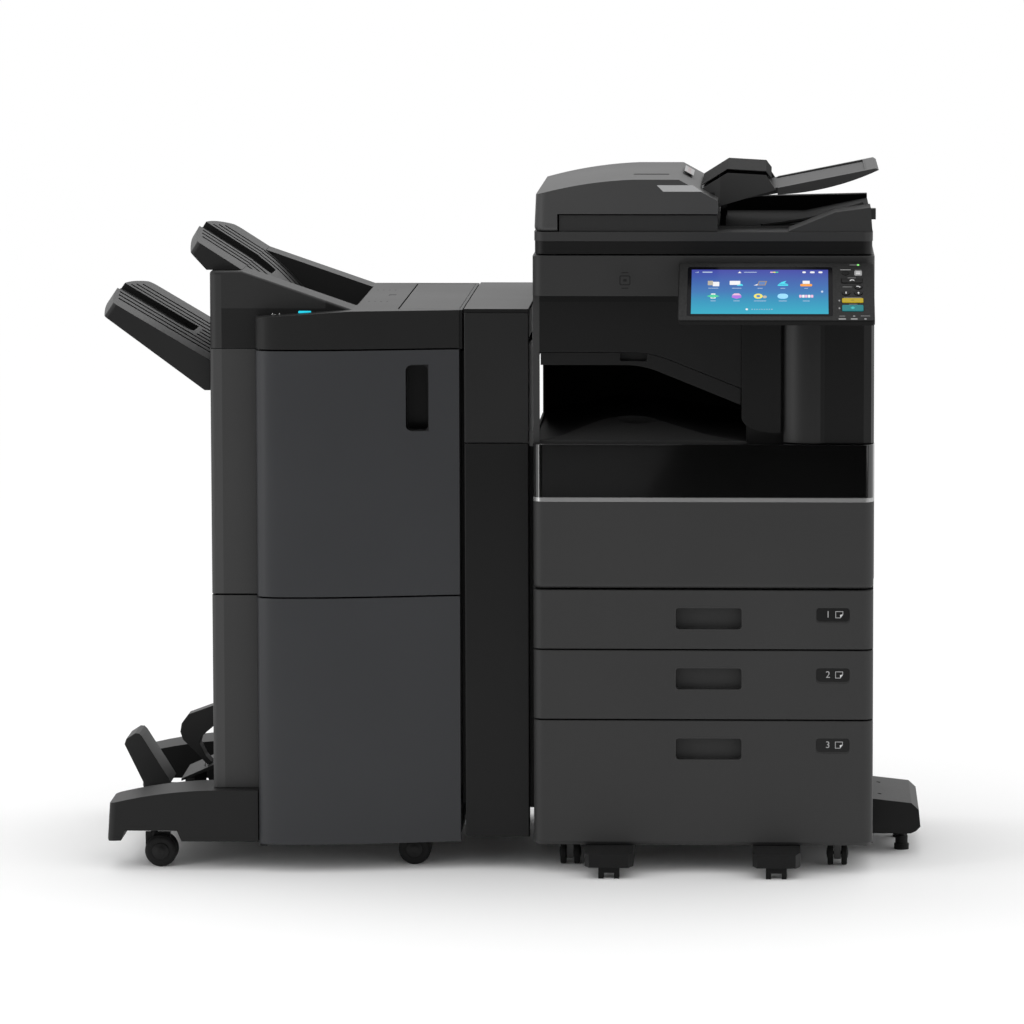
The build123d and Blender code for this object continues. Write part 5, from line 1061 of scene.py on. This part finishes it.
# %% Drawer badges
badge_ink = ink("ink_badge", grey(150))
badge_plastic = moulded("badge_plastic", grey(10), 0.3, grains=2600, depth=0.00001, edge=0.0008)
for number, name in enumerate(drawers, start=1):
    low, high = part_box(name)
    where = facing((high.x - 0.0695, front + 0.0011, high.z - 0.0415), RIGHT, UP)
    badge = [rounded(0.0562, 0.0242, 0.006)]
    plates(name + "_badge", badge, 0.0006, where, badge_plastic, name, name)
    face = where @ Matrix.Translation((0, 0, 0.0006))
    sheet = [(0.004, -0.006), (0.013, -0.006), (0.0175, 0.0), (0.0175, 0.006), (0.004, 0.006)]
    hollow = [
        (0.0052, -0.0048), (0.0126, -0.0048), (0.0163, 0.0003), (0.0163, 0.0048), (0.0052, 0.0048),
    ]
    frame_plate(
        name + "_sheet_sign", sheet, hollow, 0.00012, face, badge_ink, name, edge=0.00003
    )
    fold = [[(0.0126, -0.0052), (0.0168, 0.0006), (0.0122, -0.0002)]]
    plates(
        name + "_sheet_fold", fold, 0.00014, face, white_ink, name, name, sink=0.0001, edge=0.00003
    )
    place = face @ Matrix.Translation((-0.0085, 0, 0.0001))
    numeral(name + "_number", str(number), 0.0165, place, badge_ink, name)
print("badges", 3)

# %% [markdown]
# A hand reaches into the recess under each drawer's upper edge. A thin moulded frame round
# the recess catches the light on its lower and right edges.

# %% Frames round the drawer grips
grip_plastic = moulded("grip_plastic", grey(52), 0.36, edge=0.0008)
for name in drawers:
    grip = openings[name + "_grip"]
    middle_x = (grip[0][0] + grip[1][0]) / 2
    width = grip[1][0] - grip[0][0] + 0.008
    height = grip[1][2] - grip[0][2] + 0.008
    where = facing((middle_x, front, (grip[0][2] + grip[1][2]) / 2), RIGHT, UP)
    outer, inner = rounded(width, height, 0.006), rounded(width - 0.0032, height - 0.0032, 0.0046)
    frame_plate(
        name + "_grip_frame", outer, inner, 0.0004, where, grip_plastic, name, edge=0.0002
    )
print("grip frame", round(width, 4), "by", round(height, 4))

# %% [markdown]
# On the scanner's front is the sign of a card reader: a faint square with a small chip in
# it and a short line above and below. It is only a little darker than the plastic.

# %% Card reader sign
faint_ink = ink("ink_faint", grey(24))
where = facing((copier_l + 0.1592, scanner_low.y, scanner_low.z + 0.0287), RIGHT, UP)
frame_plate(
    "card_sign", rounded(0.019, 0.017, 0.003), rounded(0.015, 0.013, 0.0015), 0.0001,
    where, faint_ink, "base", edge=0.00003,
)
chip = [rounded(0.006, 0.0045, 0.001)]
chip += [rounded(0.012, 0.0018, 0.0006, 0, y) for y in (0.0132, -0.0135)]
printed("card_chip", chip, where, faint_ink, "base", "scanner_housing")
print("card sign on y", round(scanner_low.y, 4))

# %% [markdown]
# The feeder's cover has two labels: a pale slanted one on the front beside its slope, and
# a long one on the slope, where plain ticks show the paper widths. Both have no words.

# %% Feeder labels
feeder_low, feeder_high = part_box("feeder_top_cover")
label_grey = ink("label_grey", grey(158), 0.4)
where = facing((0, feeder_low.y, 0), RIGHT, UP)
corners = ((0.2240, -0.0262), (0.2910, -0.0262), (0.2745, -0.0152), (0.2130, -0.0152))
slanted = [(copier_l + x, feeder_high.z + z) for x, z in corners]
on_feeder = ("feeder_cover", "feeder_top_cover")
plates("feeder_front_label", [slanted], 0.0003, where, label_grey, *on_feeder, edge=0.00008)
slope_start = Vector((copier_l + 0.2506, 0, feeder_high.z))
slope_end = Vector((copier_l + 0.317, 0, feeder_high.z - 0.0365))
down_slope = (slope_end - slope_start).normalized()
origin = slope_start + down_slope * 0.016
where = facing((origin.x, front + 0.29, origin.z), down_slope, BACK)
plates("feeder_slope_label", [rounded(0.018, 0.15, 0.002)], 0.0003, where, label_grey, *on_feeder)
ticks = [rounded(0.006 if i % 5 else 0.011, 0.0008, 0.0002, 0, -0.066 + i * 0.0132) for i in range(11)]
tick_place = where @ Matrix.Translation((0, 0, 0.0003))
rose_ink = ink("ink_rose", (0.5, 0.12, 0.12))
printed("feeder_slope_ticks", ticks, tick_place, rose_ink, *on_feeder, height=0.00008, edge=0.00002)
print("feeder labels on x", round(origin.x, 3))

# %% [markdown]
# The arch over the document tray has a smoked, nearly matt lid. It hides the pick roller and
# is darker than the cheeks, so it is a thin folded sheet laid over the roof.

# %% Smoked lid of the arch
smoked = moulded(
    "smoked_lid", grey(22), 0.75, grains=1500, depth=0.00003, edge=0.0008, rub_and_sheen_tone=2.4,
    specular=0.05,
)
arch_y = (front + 0.0965, front + 0.4165)
profile = ((0.2885, -0.0213), (0.3326, 0.0065), (0.3990, 0.0027), (0.4085, -0.0100))
roof = [(copier_l + x, feeder_high.z + z) for x, z in profile]
bm = bmesh.new()
top_row, foot_row = [], []
for y in (arch_y[0], arch_y[1]):
    top_row.append([bm.verts.new((x, y, z + 0.0006)) for x, z in roof])
    foot_row.append([bm.verts.new((x, y, z - 0.0008)) for x, z in roof])
for k in range(3):
    bm.faces.new((top_row[0][k], top_row[0][k + 1], top_row[1][k + 1], top_row[1][k]))
    bm.faces.new((foot_row[0][k], foot_row[1][k], foot_row[1][k + 1], foot_row[0][k + 1]))
    for side in (0, 1):
        tops, feet = top_row[side], foot_row[side]
        bm.faces.new((tops[k], feet[k], feet[k + 1], tops[k + 1]))
for k in (0, 3):
    bm.faces.new((top_row[0][k], top_row[1][k], foot_row[1][k], foot_row[0][k]))
mesh = close_mesh(bm, "arch_lid")
soften(add_piece("arch_lid", mesh, smoked, "feeder_cover"), 0.0004)
print("arch lid over y", [round(v, 3) for v in arch_y])

# %% [markdown]
# Two dark ridges sweep up to the right across the output well and steer the sheets back.
# Each ridge is a curve with a thickness: the easiest way to get an even sweeping bead.

# %% Ridges in the output well
def bead(name, points, radius, material, body):
    """A smooth rounded bead through points."""
    line = bpy.data.curves.new(name + "_line", "CURVE")
    line.dimensions = "3D"
    line.bevel_depth = radius
    line.bevel_resolution = 3
    line.resolution_u = 10
    line.use_fill_caps = True
    spline = line.splines.new("NURBS")
    spline.points.add(len(points) - 1)
    for point, place in zip(spline.points, points):
        point.co = (*place, 1)
    spline.order_u = 3
    spline.use_endpoint_u = True
    mesh = curve_mesh(name, line)
    for face in mesh.polygons:
        face.use_smooth = True
    return add_piece(name, mesh, material, body)


ridge_plastic = moulded("ridge_plastic", grey(9), 0.5, edge=0.0006, specular=0.1)
lid_top = lid_low.z + 0.0375
for number, shift in ((1, 0.0), (2, 0.055)):
    ridge = [
        (copier_l + 0.392 + shift, front + 0.112, lid_top + 0.0035),
        (copier_l + 0.452 + shift, front + 0.17, lid_top + 0.0065),
        (copier_l + 0.512 + shift / 2, front + 0.25, lid_top + 0.0135),
        (copier_l + 0.568, front + 0.34 - shift, lid_top + 0.0265),
    ]
    bead("well_ridge_%d" % number, ridge, 0.003, ridge_plastic, "feeder")
print("ridges", 2)

# %% [markdown]
# ## Marks on the finisher
# A slim cyan lamp and two staple signs sit low on the tower. The flat top has rows of
# small dots for the paper's place and one small square.

# %% Lamp and signs on the finisher
side_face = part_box("finisher_covers")[0].y
where = facing((0, side_face, 0), RIGHT, UP)
on_tower = ("base", "finisher_top_cover")
lamp = [rounded(0.022, 0.0046, 0.0018, finisher_l + 0.1641, flap_high.z - 0.0045)]
plates("finisher_lamp", lamp, 0.0006, where, cyan_lamp, *on_tower)
staples = []
for x in (finisher_l + 0.1105, finisher_l + 0.1225):
    z = flap_high.z - 0.0081
    slanted = ((-0.0040, -0.002), (-0.0028, -0.002), (-0.0008, 0.002), (-0.0020, 0.002))
    flat = ((0, -0.0015), (0.0036, -0.0015), (0.0036, -0.0004), (0, -0.0004))
    staples += [[(x + u, z + v) for u, v in sign] for sign in (slanted, flat)]
printed("staple_signs", staples, where, white_ink, *on_tower)
where = facing((finisher_l, front, flap_high.z), RIGHT, BACK)
dots = []
for y, x0 in ((0.203, 0.263), (0.443, 0.2613)):
    dots += [oval(0.0036, 0.009, x0 + i * 0.0105, y) for i in range(4)]
printed("place_dots", dots, where, faint_ink, *on_tower)
corner_sign = [[(0.2885, 0.35), (0.3015, 0.35), (0.3015, 0.335), (0.2930, 0.335), (0.2885, 0.318)]]
printed("place_corner", corner_sign, where, black_ink, *on_tower)
print("finisher signs on y", round(side_face, 4))

# %% [markdown]
# ## Wheels, feet and the back
# A caster wheel is a tyre on a hub. The hub's cap and the axle's nut cover both ends of the
# axle, and they turn with the wheel. The caps are turned shapes with a pressed ring.

# %% Caster hubs
hub_plastic = moulded("hub_plastic", grey(16), 0.45, grains=2000, depth=0.00001, edge=0.0006)
hub = [
    (0.0150, -0.0005), (0.0150, 0.0008), (0.0135, 0.0016), (0.0095, 0.0010), (0.0075, 0.0022),
    (0.0040, 0.0026), (0, 0.0026),
]
small_hub = [(r * 0.6, h * 0.8) for r, h in hub]
for name in wheels:
    low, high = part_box(name)
    middle = (low + high) / 2
    small = name.startswith("wheel_copier")
    profile = small_hub if small else hub
    joint = next(j for j in frame["joints"] if j["child"] == name)
    axis = Vector(joint["axis"])
    for side in (-1, 1):
        if abs(axis.y) > 0.5:
            end = Vector((middle.x, low.y if side < 0 else high.y, middle.z))
            where = facing(end, (-side, 0, 0), UP)
        else:
            end = Vector((low.x if side < 0 else high.x, middle.y, middle.z))
            where = facing(end, (0, side, 0), UP)
        hub_name = name + ("_hub_a" if side < 0 else "_hub_b")
        turned(hub_name, profile, where, hub_plastic, name, sides=32)
print("hubs on", len(wheels), "wheels")

# %% [markdown]
# Screws hold the rear cover and the finisher's side. A pan head with a cross slot is turned,
# and two thin dark bars make the cross.

# %% Screws on the back
screw_steel = moulded(
    "screw_steel", grey(110), 0.35, grains=2500, depth=0.00001, edge=0.0003, metallic=1.0
)
pan = [(0.0042, -0.0003), (0.0042, 0.0005), (0.0036, 0.0014), (0.0020, 0.0020), (0, 0.0021)]
cross = [rounded(0.0046, 0.0011, 0.0004), rounded(0.0011, 0.0046, 0.0004)]


def screw(name, place, right, up, body, slot):
    """A pan head screw with a cross slot."""
    where = facing(place, right, up)
    turned(name, pan, where, screw_steel, body, sides=20)
    slot_place = where @ Matrix.Translation((0, 0, 0.0019))
    plates(name + "_cross", cross, 0.0003, slot_place, black_ink, body, slot, edge=0.00005)


rear_low, rear_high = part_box("rear_cover")
count = 0
for x in (rear_low.x + 0.014, (rear_low.x + rear_high.x) / 2, rear_high.x - 0.014):
    for z in (rear_low.z + 0.016, rear_high.z - 0.016):
        count += 1
        screw("rear_screw_%d" % count, (x, rear_high.y, z), (-1, 0, 0), UP, "base", "rear_cover")
side_low, side_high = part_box("finisher_covers")
for y in (side_low.y + 0.06, side_high.y - 0.06):
    for z in (side_low.z + 0.03, side_high.z - 0.03):
        count += 1
        screw("side_screw_%d" % count, (side_low.x, y, z), (0, -1, 0), UP, "base", "finisher_covers")
print("screws", count)

# %% [markdown]
# The mains inlet is a standard socket with three flat pins and an earth pin in the middle.
# A bare rating plate place and two warm-air grilles share the back.

# %% Inlet pins and the bare plate
inlet = openings["power_inlet"]
middle = ((inlet[0][0] + inlet[1][0]) / 2, (inlet[0][2] + inlet[1][2]) / 2)
pin_metal = moulded("pin_brass", (0.55, 0.5, 0.38), 0.25, grains=2500, depth=0.000005, metallic=1.0)
where = facing((middle[0], inlet[0][1], middle[1]), (-1, 0, 0), UP)
pin_places = ((-0.007, -0.001), (0.007, -0.001), (0, 0.0018))
pins = [rounded(0.002, 0.0052, 0.0004, x, y) for x, y in pin_places]
plates("inlet_pins", pins, 0.008, where, pin_metal, "base", "rear_cover", sink=0.002, edge=0.0003)
where = facing((rear_high.x - 0.13, rear_high.y, rear_low.z + 0.12), (-1, 0, 0), UP)
plate_silver = ink("plate_silver", grey(165), 0.35)
plates("bare_plate", [rounded(0.09, 0.05, 0.003)], 0.0003, where, plate_silver, "base", "rear_cover")
print("inlet at", [round(v, 3) for v in middle])
